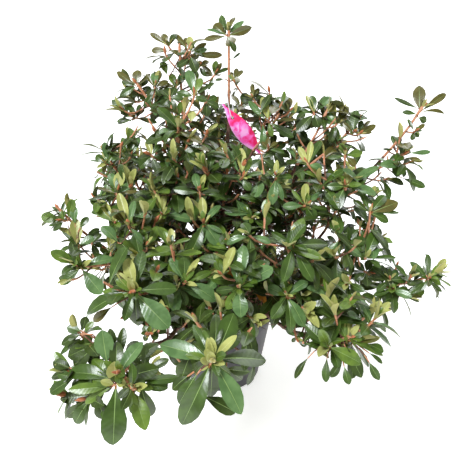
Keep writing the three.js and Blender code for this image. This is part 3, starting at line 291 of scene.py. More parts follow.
# Each row is a hub's pixels, how much nearer than its mass's crest it lies, its leaves' size by
# the rule and the leaves that are set one by one.
SEEN_SHOOTS = tuple(SeenShoot(*row) for row in (
    (169, 47, 0, 1.0, ((152, 34, 8, OLIVE), (163, 34, 9, OLIVE), (175, 34, 9, DEEP),
        (180, 54, 7, OLIVE, 169, 56), (153, 50, 10, OLIVE, 167, 58), (162, 62, 10, FRESH, 167, 75))),
    (190, 53, 0, 1.0, ((190, 38, 9, YOUNG), (175, 34, 7, OLIVE), (196, 40, 4, GREEN),
        (205, 44, 7, OLIVE), (177, 52, 9, DEEP), (206, 49, 7, PALE, 194, 57),
        (219, 55, 9, OLIVE, 197, 58), (196, 70, 13, DEEP, 191, 62), (178, 66, 9, DEEP, 188, 68))),
    (214, 76, -0.02, 1.0, ((203, 66, 7, OLIVE), (216, 62, 9, FRESH), (202, 73, 7, OLIVE),
        (228, 68, 5, GREEN), (221, 64, 6, OLIVE), (209, 88, 5, DEEP))),
    (155, 88, 0.01, 1.0, ((155, 72, 11, PALE), (147, 75, 6, OLIVE), (167, 81, 7, OLIVE),
        (160, 95, 7, DEEP), (148, 96, 8, DEEP), (145, 105, 8, GREEN, 154, 98))),
    (176, 88, 0, 1.0, ((171, 74, 10, FRESH), (184, 73, 10, PALE), (160, 82, 7, OLIVE),
        (163, 93, 9, GREEN), (181, 103, 9, FRESH, 177, 118))),
    (194, 97, 0, 1.0, ((189, 72, 12, PALE), (200, 79, 11, FRESH), (212, 84, 5, DEEP),
        (178, 92, 9, GREEN), (206, 100, 8, GREEN), (192, 112, 10, YOUNG, 191, 122))),
    (126, 112, 0), (136, 130, 0.01), (236, 85, 0, 0.7),
    (254, 100, 0, 1.0, ((252, 84, 6, OLIVE), (258, 89, 7, OLIVE), (241, 97, 12, DEEP),
        (261, 96, 6, DEEP))),
    (269, 122, 0.01, 1.0, ((262, 97, 11, YOUNG), (271, 98, 10, PALE), (248, 101, 9, PALE, 262, 117),
        (297, 119, 5, OLIVE), (293, 137, 11, GREEN), (263, 147, 9, PALE, 254, 128),
        (272, 136, 8, FRESH))),
    (288, 113, 0, 1.0, ((289, 97, 11, OLIVE), (282, 100, 7, PALE), (275, 100, 8, OLIVE),
        (302, 107, 8, PALE))),
    (314, 114, 0, 1.0, ((312, 94, 10, GREEN), (306, 96, 8, YOUNG), (325, 94, 5, DEEP),
        (332, 95, 12, PALE, 320, 109), (294, 110, 9, GREEN), (319, 127, 15, DEEP), (297, 131, 14, DEEP))),
    (336, 125, 0, 1.0, ((331, 101, 12, YOUNG), (325, 112, 10, PALE), (348, 106, 12, OLIVE),
        (344, 101, 5, OLIVE, 340, 109), (324, 120, 9, PALE), (330, 143, 10, DEEP), (338, 141, 8, DEEP))),
    (353, 133, 0.01, 1.0, ((356, 110, 14, GREEN), (346, 119, 7, DEEP), (343, 123, 7, OLIVE),
        (338, 140, 2, PALE))),
    (358, 135, 0, 1.0, ((371, 119, 6, OLIVE), (376, 125, 9, OLIVE), (372, 132, 5, OLIVE),
        (362, 120, 8, GREEN))),
    (345, 156, 0.01, 1.0, ((363, 152, 10, FRESH), (341, 143, 8, FRESH), (328, 158, 6, GREEN),
        (356, 166, 9, OLIVE))),
    (107, 164, 0.01, 1.0, ((105, 142, 11, PALE), (113, 134, 4, DEEP), (95, 155, 11, GREEN),
        (90, 160, 3, GREEN), (103, 172, 6, OLIVE), (115, 152, 6, FRESH))),
    (130, 158, 0.01, 1.0, ((131, 126, 12, FRESH), (122, 137, 10, FRESH), (139, 136, 11, PALE),
        (112, 157, 7, GREEN), (142, 163, 9, GREEN))),
    (117, 194, 0.01, 1.0, ((121, 172, 14, YOUNG), (110, 172, 11, PALE), (135, 182, 9, PALE),
        (102, 177, 4, DEEP), (95, 187, 6, OLIVE), (91, 199, 4, DEEP), (137, 191, 5, OLIVE))),
    (115, 223, 0.02, 1.0, ((95, 205, 15, FRESH), (101, 201, 10, YOUNG))),
    (129, 227, 0.03, 1.0, ((119, 194, 11, YOUNG), (112, 209, 10, OLIVE), (134, 201, 8, PALE),
        (122, 210, 9, OLIVE), (102, 225, 13, PALE, 118, 243), (143, 243, 8, PALE))),
    (163, 215, 0.03, 1.1, ((148, 179, 9, YOUNG), (165, 187, 7, YOUNG), (139, 190, 9, PALE),
        (193, 219, 12, PALE), (177, 195, 7, GREEN), (156, 200, 6, FRESH))),
    (187, 176, 0.02), (205, 172, 0.02),
    (200, 193, 0.02, 1.0, ((173, 189, 10, GREEN), (194, 172.5, 10, PALE), (205, 175, 7, YOUNG),
        (220, 192, 9, GREEN), (228, 199, 7, GREEN, 212, 198))),
    (204, 224, 0.03, 1.1, ((202, 198, 10, YOUNG), (220, 204, 9, PALE), (219, 244, 18, PALE),
        (190, 256, 16, GREEN), (222, 232, 8, PALE))),
    (242, 178, 0.02, 1.0, ((241, 148, 11, YOUNG, 242, 168), (222, 144, 9, PALE, 237, 167),
        (220, 177, 7, GREEN), (252, 158, 7, FRESH), (262, 172, 8, GREEN), (250, 190, 10, GREEN))),
    (252, 218, 0.02, 1.0, ((225, 212, 9, PALE, 246, 211), (221, 207, 6, GREEN, 247, 206),
        (268, 229, 10, GREEN), (242, 200, 6, FRESH))),
    (250, 236, 0.03, 1.0, ((226, 243, 9, PALE), (271, 242, 10, PALE), (251, 264, 12, GREEN),
        (243, 222, 12, GREEN))),
    (147, 248, 0.02, 1.0, ((142, 226, 10, FRESH), (158, 226, 10, FRESH), (133, 248, 8, GREEN))),
    (171, 246, 0.02, 0.9, ((164, 231, 6, FRESH), (171, 229, 8, YOUNG), (190, 238, 5, FRESH))),
    (78, 247, 0, 1.0, ((75, 219, 15, YOUNG), (73, 199, 11, FRESH, 68, 218),
        (74, 206, 10, PALE, 75, 224), (88, 217, 9, GREEN, 80, 228), (93, 237, 12, PALE),
        (62, 231, 4, GREEN), (60, 249, 5, GREEN))),
    (81, 268, 0.01, 1.1, ((61, 284.5, 13, GREEN), (101, 293, 19, PALE), (70, 239, 12, DEEP),
        (57, 250, 10, GREEN), (114, 257, 13, PALE))),
    (185, 283, 0.02, 1.0, ((171, 258, 12, PALE), (184, 257, 14, GREEN), (199, 258, 7, YOUNG),
        (212, 271, 8, FRESH), (217, 299, 17, PALE))),
    (223, 276, 0.02, 1.0, ((234, 248, 10, YOUNG), (217, 254, 7, FRESH))),
    (239, 288, 0.02, 1.1, ((243, 245, 15, PALE, 241, 276), (252, 276, 10, YOUNG),
        (272, 267, 17, PALE), (241, 317, 16, PALE), (227, 309, 12, FRESH), (233, 262, 8, PALE),
        (216, 291, 9, GREEN))),
    (308, 165, 0.02, 1.1, ((299, 147, 8, YOUNG), (311, 142, 8, YOUNG), (321, 140, 9, GREEN),
        (323, 168, 9, PALE))),
    (276, 178, 0.03, 1.0, ((272, 204, 12, PALE), (283, 200, 7, PALE), (277, 160, 7, YOUNG),
        (292, 176, 8, GREEN))),
    (268, 150, 0.02, 1.0, ((262, 141, 7, OLIVE), (268, 137, 7, OLIVE), (278, 141, 6, OLIVE),
        (285, 152, 8, GREEN), (258, 146, 6, GREEN))),
    (345, 187, 0.02, 1.1, ((335, 170, 10, YOUNG), (347, 171, 8, YOUNG), (378, 193, 12, PALE),
        (333, 210, 16, GREEN), (327, 186, 10, GREEN), (380, 165, 9, PALE))),
    (305, 206, 0.03, 1.0, ((306, 184, 10, YOUNG), (283, 206, 10, PALE), (315, 219, 15, GREEN),
        (324, 190, 9, PALE), (292, 190, 5, FRESH), (327, 209, 6, GREEN))),
    (370, 213, 0.02, 1.0, ((398, 202, 16, OLIVE), (400, 212, 6, GREEN), (389, 221, 12, GREEN),
        (386, 194, 12, GREEN), (353, 200, 7, DEEP), (361, 190, 8, GREEN))),
    (365, 259, 0.02, 1.0, ((378, 229, 16, GREEN), (345, 246, 10, PALE), (386, 247, 5, FRESH),
        (396, 257, 6, GREEN), (382, 267, 8, GREEN), (353, 238, 6, GREEN), (371, 246, 7, YOUNG),
        (362, 243, 6, GREEN))),
    (293, 246, 0.02, 1.1, ((295, 227, 10, YOUNG), (271, 232, 8, GREEN), (284, 281, 14, GREEN),
        (313, 281, 14, GREEN), (328, 243, 14, DEEP))),
    (335, 257, 0.02), (348, 283, 0.02, 0.8),
    (287, 296, 0.03, 1.0, ((268, 287, 12, PALE), (272, 319, 14, GREEN), (292, 333, 12, GREEN),
        (305, 326, 16, PALE), (308, 280, 12, PALE), (282, 277, 7, GREEN), (299, 289, 6, FRESH))),
    (391, 290, 0, 0.8), (372, 322, 0.01), (251, 318, 0, 0.8),
    (64, 221, 0, 1.0, ((41, 216, 14, FRESH), (52, 205, 5, GREEN), (64, 201, 4, GREEN, 58, 213),
        (53, 231, 7, GREEN), (48, 226, 4, GREEN), (99, 229, 9, GREEN, 85, 238))),
    (75, 374, -0.02, 0.7), (90, 399, -0.01, 0.7), (80, 334, -0.03, 0.7), (132, 388, 0.01, 0.6),
    (148, 373, -0.03, 0.7), (70, 395, -0.02, 0.6), (150, 122, -0.05), (134, 100, -0.04),
    (204, 116, -0.05), (196, 84, -0.04), (154, 150, -0.05), (366, 202, -0.05), (102, 270, -0.04),
    (92, 240, -0.04),
    # Hubs that lie behind the crest (nearer below zero) have mostly deep leaves, a painted shade inside
    # the crown.
    (295, 125, -0.04, 1.0, ((283, 112, 13, DEEP), (304, 112, 12, DEEP), (311, 127, 13, DEEP),
        (306, 141, 14, DEEP), (291, 145, 14, DEEP), (280, 136, 14, DEEP), (277, 122, 12, DEEP),
        (299, 152, 12, GREEN))),
    (272, 151, -0.04, 1.0, ((264, 139, 10, DEEP), (274, 134, 12, DEEP), (286, 142, 13, DEEP),
        (290, 155, 13, DEEP), (283, 165, 13, DEEP), (268, 168, 12, DEEP), (258, 162, 11, DEEP))),
    (312, 150, -0.04, 1.0, ((303, 140, 12, DEEP), (318, 142, 10, DEEP), (322, 154, 12, DEEP),
        (313, 163, 12, DEEP), (301, 158, 12, DEEP))),
    (260, 119, -0.04, 1.0, ((251, 110, 9, DEEP), (263, 108, 8, DEEP), (270, 124, 10, DEEP),
        (262, 131, 11, DEEP), (253, 127, 8, DEEP))),
    (428, 279, 0.01, 1.0, ((428, 254, 8, GREEN), (411, 262, 9, GREEN), (411, 271, 5, DEEP),
        (441, 265, 9, FRESH), (443, 275, 6, DEEP), (442, 284, 8, FRESH), (442, 292, 5, DEEP),
        (421, 290, 7, GREEN), (408, 294, 8, GREEN, 420, 286), (407, 284, 7, DEEP, 420, 283))),
    (414, 132, 0, 0.7, ((425, 124, 6, OLIVE), (408, 119, 5, GREEN), (412, 140, 7, DEEP),
        (419, 137, 6, GREEN))),
    (390, 280, 0, 1.0, ((408, 279, 10, GREEN), (398, 270, 10, PALE), (384, 267, 7, GREEN),
        (372, 267, 9, GREEN, 383, 278), (368, 277, 9, DEEP, 381, 280), (377, 291, 9, GREEN),
        (394, 292, 8, FRESH))),
    (366, 272, -0.03, 1.0, ((355, 262, 10, DEEP), (370, 260, 11, DEEP), (378, 272, 10, DEEP),
        (368, 286, 12, DEEP), (355, 280, 10, GREEN))),
    (360, 228, -0.02, 1.0, ((348, 238, 12, GREEN), (357, 215, 9, DEEP), (368, 224, 9, DEEP),
        (366, 240, 9, GREEN), (380, 226, 8, DEEP, 371, 232))),
    (141, 88, -0.02, 1.0, ((147, 80, 7, DEEP), (151, 90, 9, DEEP), (143, 99, 9, GREEN),
        (133, 96, 8, DEEP))),
    (186, 46, -0.02, 1.0, ((186, 38, 7, OLIVE), (178, 42, 6, DEEP), (194, 47, 7, DEEP),
        (186, 58, 9, DEEP))),
    (170, 98, -0.03, 1.0, ((162, 90, 9, DEEP), (175, 88, 9, DEEP), (182, 98, 9, GREEN),
        (174, 109, 10, DEEP), (161, 106, 9, DEEP))),
    (92, 243, -0.02, 1.0, ((101, 233, 9, DEEP), (85, 236, 7, DEEP), (102, 246, 8, GREEN),
        (98, 256, 9, DEEP))),
    (262, 134, -0.03, 1.0, ((257, 124, 8, GREEN), (268, 126, 8, DEEP), (267, 143, 8, DEEP),
        (272, 136, 7, OLIVE))),
    (295, 129, -0.02, 1.0, ((285, 120, 8, DEEP), (302, 117, 8, DEEP), (307, 128, 8, GREEN),
        (290, 139, 9, DEEP), (301, 142, 9, DEEP), (282, 132, 8, GREEN))),
    (199, 67, -0.01, 1.0, ((192, 60, 7, DEEP), (208, 61, 7, OLIVE), (205, 75, 7, DEEP),
        (191, 74, 6, GREEN))),
    (378, 206, -0.02, 1.0, ((366, 196, 9, DEEP), (389, 196, 8, GREEN), (394, 208, 8, DEEP),
        (369, 215, 9, GREEN), (381, 219, 9, DEEP))),
    (296, 337, -0.02, 0.9, ((286, 328, 7, GREEN), (306, 346, 8, DEEP), (292, 342, 5, DEEP),
        (304, 333, 7, GREEN))),
    (149, 333, 0, 0.9, ((143, 326, 7, GREEN), (156, 327, 8, DEEP), (158, 338, 8, GREEN),
        (144, 341, 6, DEEP))),
    (262, 159, -0.03, 1.0, ((276, 149, 12, DEEP), (262, 174, 12, DEEP), (274, 166, 12, DEEP),
        (251, 166, 11, GREEN))),
    (152, 156, 0, 1.0, ((147, 141, 9, YOUNG), (161, 143, 9, GREEN), (139, 159, 9, DEEP),
        (165, 158, 9, DEEP), (139, 168, 10, GREEN), (158, 172, 10, DEEP))),
    (206, 102, -0.01, 1.0, ((199, 87, 9, OLIVE), (216, 97, 8, GREEN), (207, 115, 10, DEEP),
        (218, 107, 8, DEEP))),
    (136, 118, -0.01, 1.0, ((121, 112, 9, DEEP), (128, 104, 9, GREEN), (144, 108, 8, DEEP),
        (150, 120, 6, OLIVE), (140, 104, 7, GREEN), (117, 121, 8, GREEN, 128, 123),
        (157, 122, 8, DEEP, 146, 123))),
))

# Places where the front foliage stands apart and shows the dark inside of the crown.
DARK_GAPS = tuple(Opening(*row) for row in (
    (235, 197, 9), (230, 221, 9), (210, 204, 6), (177, 228, 8), (280, 223, 9), (263, 260, 6),
    (278, 260, 5), (262, 300, 11), (203, 312, 8), (183, 241, 6), (297, 274, 6), (105, 268, 6),
    (228, 252, 5), (239, 246, 5), (222, 291, 5), (317, 203, 4)))

ROSETTES = {
    "front_rosette": Rosette(212, 361, True, (
        (160.5, 344, 15, PALE, 206, 356, -12), (217, 313, 10, DEEP, 216, 350, -18),
        (234, 314, 16, GREEN, 221, 350, -20), (241, 329, 12, DEEP, 226, 350, -22),
        (236, 336, 7, YOUNG, 219, 353, 8), (211, 338, 7, YOUNG, 213, 351, 6),
        (206, 349, 6, YOUNG, 209, 358, 8), (201, 360, 6, YOUNG, 204, 367, 12),
        (210, 352, 7, YOUNG, 211, 367, 16), (224, 364, 6, YOUNG, 216, 366, 14),
        (266, 358, 17, DEEP, 228, 357, -8), (248, 362, 4, GREEN, 224, 362, -6),
        (242, 413, 16, PALE, 219, 369, 10), (181.5, 427.5, 17, GREEN, 207, 370, 12),
        (178, 404, 11, GREEN, 198, 373, -2), (180, 382, 15, DEEP, 190, 356, -25),
        (192, 374, 9, DEEP, 204, 364, -15), (172, 389, 10, DEEP, 188, 376, -20),
        (211, 398, 12, DEEP, 212, 371, -15), (236, 412, 12, DEEP, 203, 396, -10),
        (186, 354, 6, FRESH, 205, 359, 5), (193, 324, 7, GREEN, 205, 348, -15),
        (204, 330, 5, FRESH, 208, 347, -15))),
    "front_left_rosette": Rosette(115, 383, True, (
        (113, 445.5, 21, GREEN, 117, 389, 12), (146, 429.5, 14, FRESH, 133, 391, 15),
        (151, 418, 14, DEEP, 141, 386, -12), (180, 378, 8, GREEN, 138, 380, -14),
        (168, 387, 9, GREEN, 138, 386, -16), (153, 388, 6, FRESH, 136, 388, -8),
        (159, 367, 14, DEEP, 124, 377, -10), (168, 359, 8, DEEP, 148, 371, -20),
        (141, 341, 12, PALE, 122, 368, -12), (158, 342, 12, DEEP, 128, 367, -22),
        (138, 339, 9, DEEP, 124, 360, -20), (124, 328, 8, DEEP, 118, 358, -28),
        (110, 329, 8, DEEP, 114, 352, -28), (102, 331, 16, PALE, 107, 363, -10),
        (117, 341, 12, DEEP, 116, 366, -14), (66, 370, 15, GREEN, 106, 374, -8),
        (92, 358, 10, FRESH, 107, 373, -12), (68.5, 390, 9, FRESH, 106, 390, 8),
        (72, 384, 10, GREEN, 100, 386, -5), (60, 399, 10, DEEP, 90, 395, -15),
        (64.5, 418, 9, DEEP, 89, 400, -12), (74, 423.5, 12, GREEN, 89, 401, -8),
        (104, 420, 12, DEEP, 98, 398, -8), (84, 403, 7, FRESH, 108, 393, 0),
        (93, 380, 9, FRESH, 107, 388, 2), (114, 362, 14, YOUNG, 116, 379, 8),
        (126, 383, 7, YOUNG, 118, 384, 8), (101, 381, 6, YOUNG, 113, 386, 8),
        (134, 380, 6, YOUNG, 131, 388, 6), (129, 393, 4, YOUNG, 132, 386, 8),
        (53, 361, 11, DEEP, 70, 368, -14), (57, 374, 8, GREEN, 75, 377, -12),
        (49.5, 393, 10, GREEN, 75, 377, -6), (67, 357, 14, DEEP, 91, 346, -18),
        (73, 366, 13, DEEP, 92, 349, -16), (95, 366, 11, DEEP, 91, 347, -20),
        (74, 345, 9, FRESH, 91, 344, -20), (67, 327, 8, GREEN, 81, 331, -24),
        (86, 317, 8, DEEP, 82, 331, -26), (61, 344, 9, DEEP, 81, 334, -20),
        (93, 322, 6, FRESH, 84, 331, -26), (92, 341, 8, DEEP, 83, 334, -22))),
    "left_low_foliage": Rosette(134.5, 292, False, (
        (176, 288, 14, GREEN, 141, 289, -6), (168, 327, 22, PALE, 138, 296, 14),
        (83, 312, 14, GREEN, 126, 291, -4), (109, 299, 7, FRESH, 129, 296, 4),
        (124, 321, 10, GREEN, 131, 299, 8), (137, 327, 17, DEEP, 138, 300, -12),
        (106, 282, 9, DEEP, 124, 289, -12), (127, 259, 12, YOUNG, 135, 283, -6),
        (116, 269, 9, OLIVE, 131, 284, 0), (117, 272, 7, YOUNG, 127, 289, 2),
        (134, 281, 8, YOUNG, 135, 294, 10), (142, 251, 13, GREEN, 138, 281, -18),
        (113, 258, 9, PALE, 131, 277, -14), (92, 322, 9, OLIVE, 112, 307, -14))),
    "right_low_foliage": Rosette(347, 340, False, (
        (347, 316, 6, YOUNG), (352, 319, 6, YOUNG), (364, 324, 10, FRESH), (336, 319, 11, FRESH),
        (342, 314, 8, FRESH), (320, 344, 10, FRESH), (384, 354, 10, FRESH), (366, 338, 5, FRESH),
        (294, 378, 7, DEEP, 308, 358), (325.5, 382, 9, GREEN, 327, 358), (331, 377, 9, DEEP, 342, 361),
        (349, 384.5, 9, GREEN, 344, 366), (362, 377, 15, DEEP, 342, 356), (379, 380, 9, GREEN, 369, 362),
        (383, 363, 6, GREEN, 369, 353), (384, 351, 11, GREEN, 367, 344))),
    "right_crest_foliage": Rosette(420, 112, True, (
        (419, 87, 15, OLIVE), (444, 95, 9, OLIVE), (444, 112, 6, OLIVE), (397, 99, 5, DEEP, 414, 103),
        (426, 121, 9, DEEP, 416, 126), (404, 112, 6, GREEN, 413, 118), (399, 137, 9, OLIVE, 397, 148),
        (392, 136, 5, GREEN, 395, 147), (384, 149, 3, DEEP, 394, 150), (409, 145, 10, GREEN, 400, 153),
        (429, 152, 6, PALE, 408, 153), (421, 161, 6, OLIVE, 405, 158), (397, 175, 14, GREEN, 400, 161),
        (423, 186, 9, GREEN, 402, 178))),
    "top_centre_foliage": Rosette(227, 36, True, (
        (221, 16, 9, GREEN), (234, 17, 7, OLIVE), (242, 22, 8, PALE), (250, 28, 11, OLIVE),
        (214, 25, 13, OLIVE), (208, 29, 4, PALE), (206, 39, 7, OLIVE), (232, 44, 15, OLIVE),
        (235, 50, 8, DEEP, 232, 43), (240, 53, 3, GREEN, 231, 60), (237, 69, 7, OLIVE, 234, 80),
        (242, 71, 6, OLIVE, 236, 79), (231, 72, 5, OLIVE, 233, 80), (216, 80, 4, DEEP, 224, 79))),
    "top_left_foliage": Rosette(179, 48, False, ()),
    "upper_left_foliage": Rosette(137, 86, False, (
        (137, 71, 13, OLIVE), (118, 73, 9, OLIVE), (122, 82, 6, DEEP), (149, 75, 5, OLIVE),
        (113, 101, 12, GREEN, 130, 114), (121, 95, 10, GREEN), (119, 123, 5, DEEP, 132, 120))),
}

# The parts of the crown that are joined into one piece each, as ranges of MASSES.
CROWN_PARTS = {"left": (0, 10), "middle": (10, 18), "right": (18, 29), "back": (29, 35)}


def unit(vector: np.ndarray) -> np.ndarray:
    """Returns a vector scaled to a length of one."""
    return vector / np.linalg.norm(vector)


def mix(low: Any, high: Any, share: Any) -> Any:
    """Returns what lies between two values at a share of the way."""
    return low + (high - low) * share


def place(bearing: float, reach: float, height: float) -> np.ndarray:
    """Returns the point at a bearing from the front, a reach from the pot's axis and a height."""
    angle = math.radians(bearing)
    return np.array((reach * math.sin(angle), -reach * math.cos(angle), height))


def square_to(axis: np.ndarray) -> tuple[np.ndarray, np.ndarray]:
    """Returns two unit vectors square to an axis and to each other.

    Args:
        axis: a unit vector.

    Returns:
        The two vectors.
    """
    other = np.array((1.0, 0.0, 0.0)) if abs(axis[2]) > 0.95 else UP
    first = unit(np.cross(axis, other))
    return first, np.cross(axis, first)


def leaning(axis: np.ndarray, lean: float, turn: float) -> np.ndarray:
    """Returns the unit vector that leans from an axis by an angle, towards a turn round it.

    Args:
        axis: a unit vector.
        lean: the angle away from it, in radians.
        turn: the angle round it, in radians.

    Returns:
        The leaning vector.
    """
    first, second = square_to(axis)
    outward = first * math.cos(turn) + second * math.sin(turn)
    return axis * math.cos(lean) + outward * math.sin(lean)


def bend(start: np.ndarray, leaving: np.ndarray, end: np.ndarray, arriving: np.ndarray,
         steps: int) -> np.ndarray:
    """Returns points along a smooth bend.

    Args:
        start: where the bend begins.
        leaving: the unit direction in which it leaves its start.
        end: where the bend ends.
        arriving: the unit direction in which it reaches its end.
        steps: how many stretches the bend has.

    Returns:
        An array of steps + 1 points.
    """
    pull = np.linalg.norm(end - start) / 3
    share = np.linspace(0, 1, steps + 1)[:, None]
    rest = 1 - share
    return (rest ** 3 * start + 3 * rest ** 2 * share * (start + leaving * pull)
            + 3 * rest * share ** 2 * (end - arriving * pull) + share ** 3 * end)


def point_along(line: np.ndarray, share: float) -> np.ndarray:
    """Returns the point at a share of the stretches of a line.

    Args:
        line: the points of the line.
        share: how far along, from 0 to 1.

    Returns:
        The point.
    """
    steps = len(line) - 1
    whole = min(int(share * steps), steps - 1)
    return mix(line[whole], line[whole + 1], share * steps - whole)


def end_direction(line: np.ndarray) -> np.ndarray:
    """Returns the unit direction in which a line ends."""
    return unit(line[-1] - line[-2])


def gaps_between(points: np.ndarray, starts: np.ndarray, runs: np.ndarray) -> np.ndarray:
    """Measures points against straight stretches.

    Args:
        points: the points.
        starts: where each stretch begins.
        runs: the vector from its start to its end.

    Returns:
        The distance of each point, by row, from each stretch, by column.
    """
    offsets = points[:, None, :] - starts
    squares = np.maximum((runs ** 2).sum(axis=1), 1e-12)
    shares = np.clip((offsets * runs).sum(axis=2) / squares, 0, 1)
    return np.linalg.norm(offsets - shares[:, :, None] * runs, axis=2)


class Draws:
    """A seeded source of even numbers, the same as the solids have."""

    def __init__(self, seed: int) -> None:
        """Starts the source.

        Args:
            seed: the whole number that settles every later draw.
        """
        self.state = (seed * 2654435761 + 97) % 4294967296
        for _ in range(4):
            self.between(0, 1)

    def between(self, low: float, high: float) -> float:
        """Returns the next number between two limits."""
        self.state = (self.state * 1664525 + 1013904223) % 4294967296
        return low + (high - low) * self.state / 4294967296

    def pick(self, shares: Iterable[float]) -> int:
        """Returns an index, each as likely as its share of the whole.

        Args:
            shares: the weight of each choice.

        Returns:
            The index of the choice.
        """
        shares = tuple(shares)
        mark = self.between(0, sum(shares))
        for index, share in enumerate(shares):
            mark -= share
            if mark < 0:
                return index
        return len(shares) - 1


def linear(colour: str) -> tuple[float, float, float, float]:
    """Returns an sRGB hex colour such as "#3f6e34" as linear red, green, blue and alpha.

    Args:
        colour: six hex digits after a hash sign.

    Returns:
        The four values.
    """
    parts = [int(colour[i:i + 2], 16) / 255 for i in (1, 3, 5)]
    turned = [p / 12.92 if p <= 0.04045 else ((p + 0.055) / 1.055) ** 2.4 for p in parts]
    return turned[0], turned[1], turned[2], 1.0


def add_node(tree: bpy.types.NodeTree, kind: str, inputs: dict[Any, Any] | None = None,
             **settings: Any) -> bpy.types.Node:
    """Adds a node with its settings and links.

    Args:
        tree: the material's node tree.
        kind: the node's type, such as "ShaderNodeMath".
        inputs: a socket's name or number, and the value or the output that it gets.
        settings: the node's own properties.

    Returns:
        The new node.
    """
    node = tree.nodes.new(kind)
    for name, value in settings.items():
        setattr(node, name, value)
    for name, value in (inputs or {}).items():
        if isinstance(value, bpy.types.NodeSocket):
            tree.links.new(value, node.inputs[name])
        else:
            node.inputs[name].default_value = value
    return node


def shader_of(name: str, **sockets: Any) -> tuple[bpy.types.Material, Any, bpy.types.Node]:
    """Starts a material.

    Args:
        name: the material's name.
        sockets: values for the shader's sockets, with underscores for spaces.

    Returns:
        The material, its node tree and its shader.
    """
    material = bpy.data.materials.new(name)
    material.use_nodes = True
    tree = material.node_tree
    shader = tree.nodes["Principled BSDF"]
    for socket, value in sockets.items():
        shader.inputs[socket.replace("_", " ")].default_value = value
    return material, tree, shader


def mottled(tree: bpy.types.NodeTree, vector: bpy.types.NodeSocket, size: float, detail: float,
            edges: tuple[float, float], colours: tuple) -> tuple:
    """Blends two colours in soft patches.

    Args:
        tree: the material's node tree.
        vector: the coordinates that the patches lie in.
        size: the size of a patch in metres.
        detail: how ragged the patches are.
        edges: the height of the pattern up to which the first colour is pure, and that from
            which the second is.
        colours: the two colours, each as a hex string or as another node's output.

    Returns:
        The blended colour and the height of the pattern, both as outputs.
    """
    patches = add_node(tree, "ShaderNodeTexNoise", {
        "Vector": vector, "Scale": 1 / size, "Detail": detail})
    share = add_node(tree, "ShaderNodeMapRange", {
        "Value": patches.outputs["Fac"], "From Min": edges[0], "From Max": edges[1]})
    first, second = (linear(c) if isinstance(c, str) else c for c in colours)
    blend = add_node(tree, "ShaderNodeMix", {"Factor": share.outputs["Result"], 6: first, 7: second},
                     data_type="RGBA")
    return blend.outputs[2], patches.outputs["Fac"]


def dress(tree: bpy.types.NodeTree, shader: bpy.types.Node, height: bpy.types.NodeSocket,
          strength: float, depth: float, colour: bpy.types.NodeSocket | None = None) -> None:
    """Gives a shader its fine relief, and its colour where that isn't even.

    Args:
        tree: the material's node tree.
        shader: the material's shader.
        height: the height of the relief, as an output.
        strength: how strongly the relief shows.
        depth: how deep it is, in metres.
        colour: the colour, as an output.
    """
    relief = add_node(tree, "ShaderNodeBump", {
        "Strength": strength, "Distance": depth, "Height": height})
    tree.links.new(relief.outputs["Normal"], shader.inputs["Normal"])
    if colour is not None:
        tree.links.new(colour, shader.inputs["Base Color"])


@dataclass(frozen=True)
class LeafFinish:
    """A leathery leaf's living surface: a waxy skin that lets little light through.

    Each leaf of a joined piece gets one of these finishes, and each is blotched a little with a
    second green. Fine side veins only lift the skin a little, which breaks up the gloss.
    """

    name: str
    colour: str
    patch: str
    roughness: float = 0.34
    wax: float = 0.25
    vein_lift: float = 0.11
    hair: float = 0.0
    veins: float = 10.0
    slant: float = 2.2
    vein_depth: float = 0.0004
    patch_size: float = 0.012

    def material(self) -> bpy.types.Material:
        """Returns the material, with its veins along the leaf's own map.

        Returns:
            The material.
        """
        material, tree, shader = shader_of(
            self.name, Roughness=self.roughness, IOR=1.45, Coat_Weight=self.wax, Coat_Roughness=0.22,
            Sheen_Weight=self.hair, Sheen_Roughness=0.4, Sheen_Tint=linear("#dfe9e6"))
        coordinates = add_node(tree, "ShaderNodeTexCoord")
        blotched, _ = mottled(tree, coordinates.outputs["Object"], self.patch_size, 2.0, (0.35, 0.65),
                              (self.colour, self.patch))
        across = add_node(tree, "ShaderNodeSeparateXYZ", {0: coordinates.outputs["UV"]})
        aside = add_node(tree, "ShaderNodeMath", {0: across.outputs["X"], 1: 0.5},
                         operation="SUBTRACT")
        outward = add_node(tree, "ShaderNodeMath", {0: aside.outputs[0]}, operation="ABSOLUTE")
        slanted = add_node(tree, "ShaderNodeMath", {
            0: outward.outputs[0], 1: -self.slant / self.veins, 2: across.outputs["Y"]},
            operation="MULTIPLY_ADD")
        turned = add_node(tree, "ShaderNodeMath", {
            0: slanted.outputs[0], 1: 2 * math.pi * self.veins}, operation="MULTIPLY")
        ridges = add_node(tree, "ShaderNodeMath", {0: turned.outputs[0]}, operation="COSINE")
        dress(tree, shader, ridges.outputs[0], self.vein_lift, self.vein_depth, blotched)
        return material


@dataclass(frozen=True)
class BarkFinish:
    """Thin azalea bark: dull, with fine lengthwise cracks and paler dry flakes."""

    name: str
    colour: str
    flake: str
    crack: str
    roughness: float = 0.82
    grain: float = 0.0016
    flake_size: float = 0.009

    def material(self) -> bpy.types.Material:
        """Returns the material, mottled by flakes and darkened in its cracks.

        Returns:
            The material.
        """
        material, tree, shader = shader_of(self.name, Roughness=self.roughness, IOR=1.5)
        places = add_node(tree, "ShaderNodeTexCoord").outputs["Object"]
        flaked, _ = mottled(tree, places, self.flake_size, 4.0, (0.42, 0.62), (self.colour, self.flake))
        cracked, cracks = mottled(tree, places, self.grain, 3.0, (0.56, 0.7), (flaked, self.crack))
        dress(tree, shader, cracks, 0.5, 0.0006, cracked)
        return material


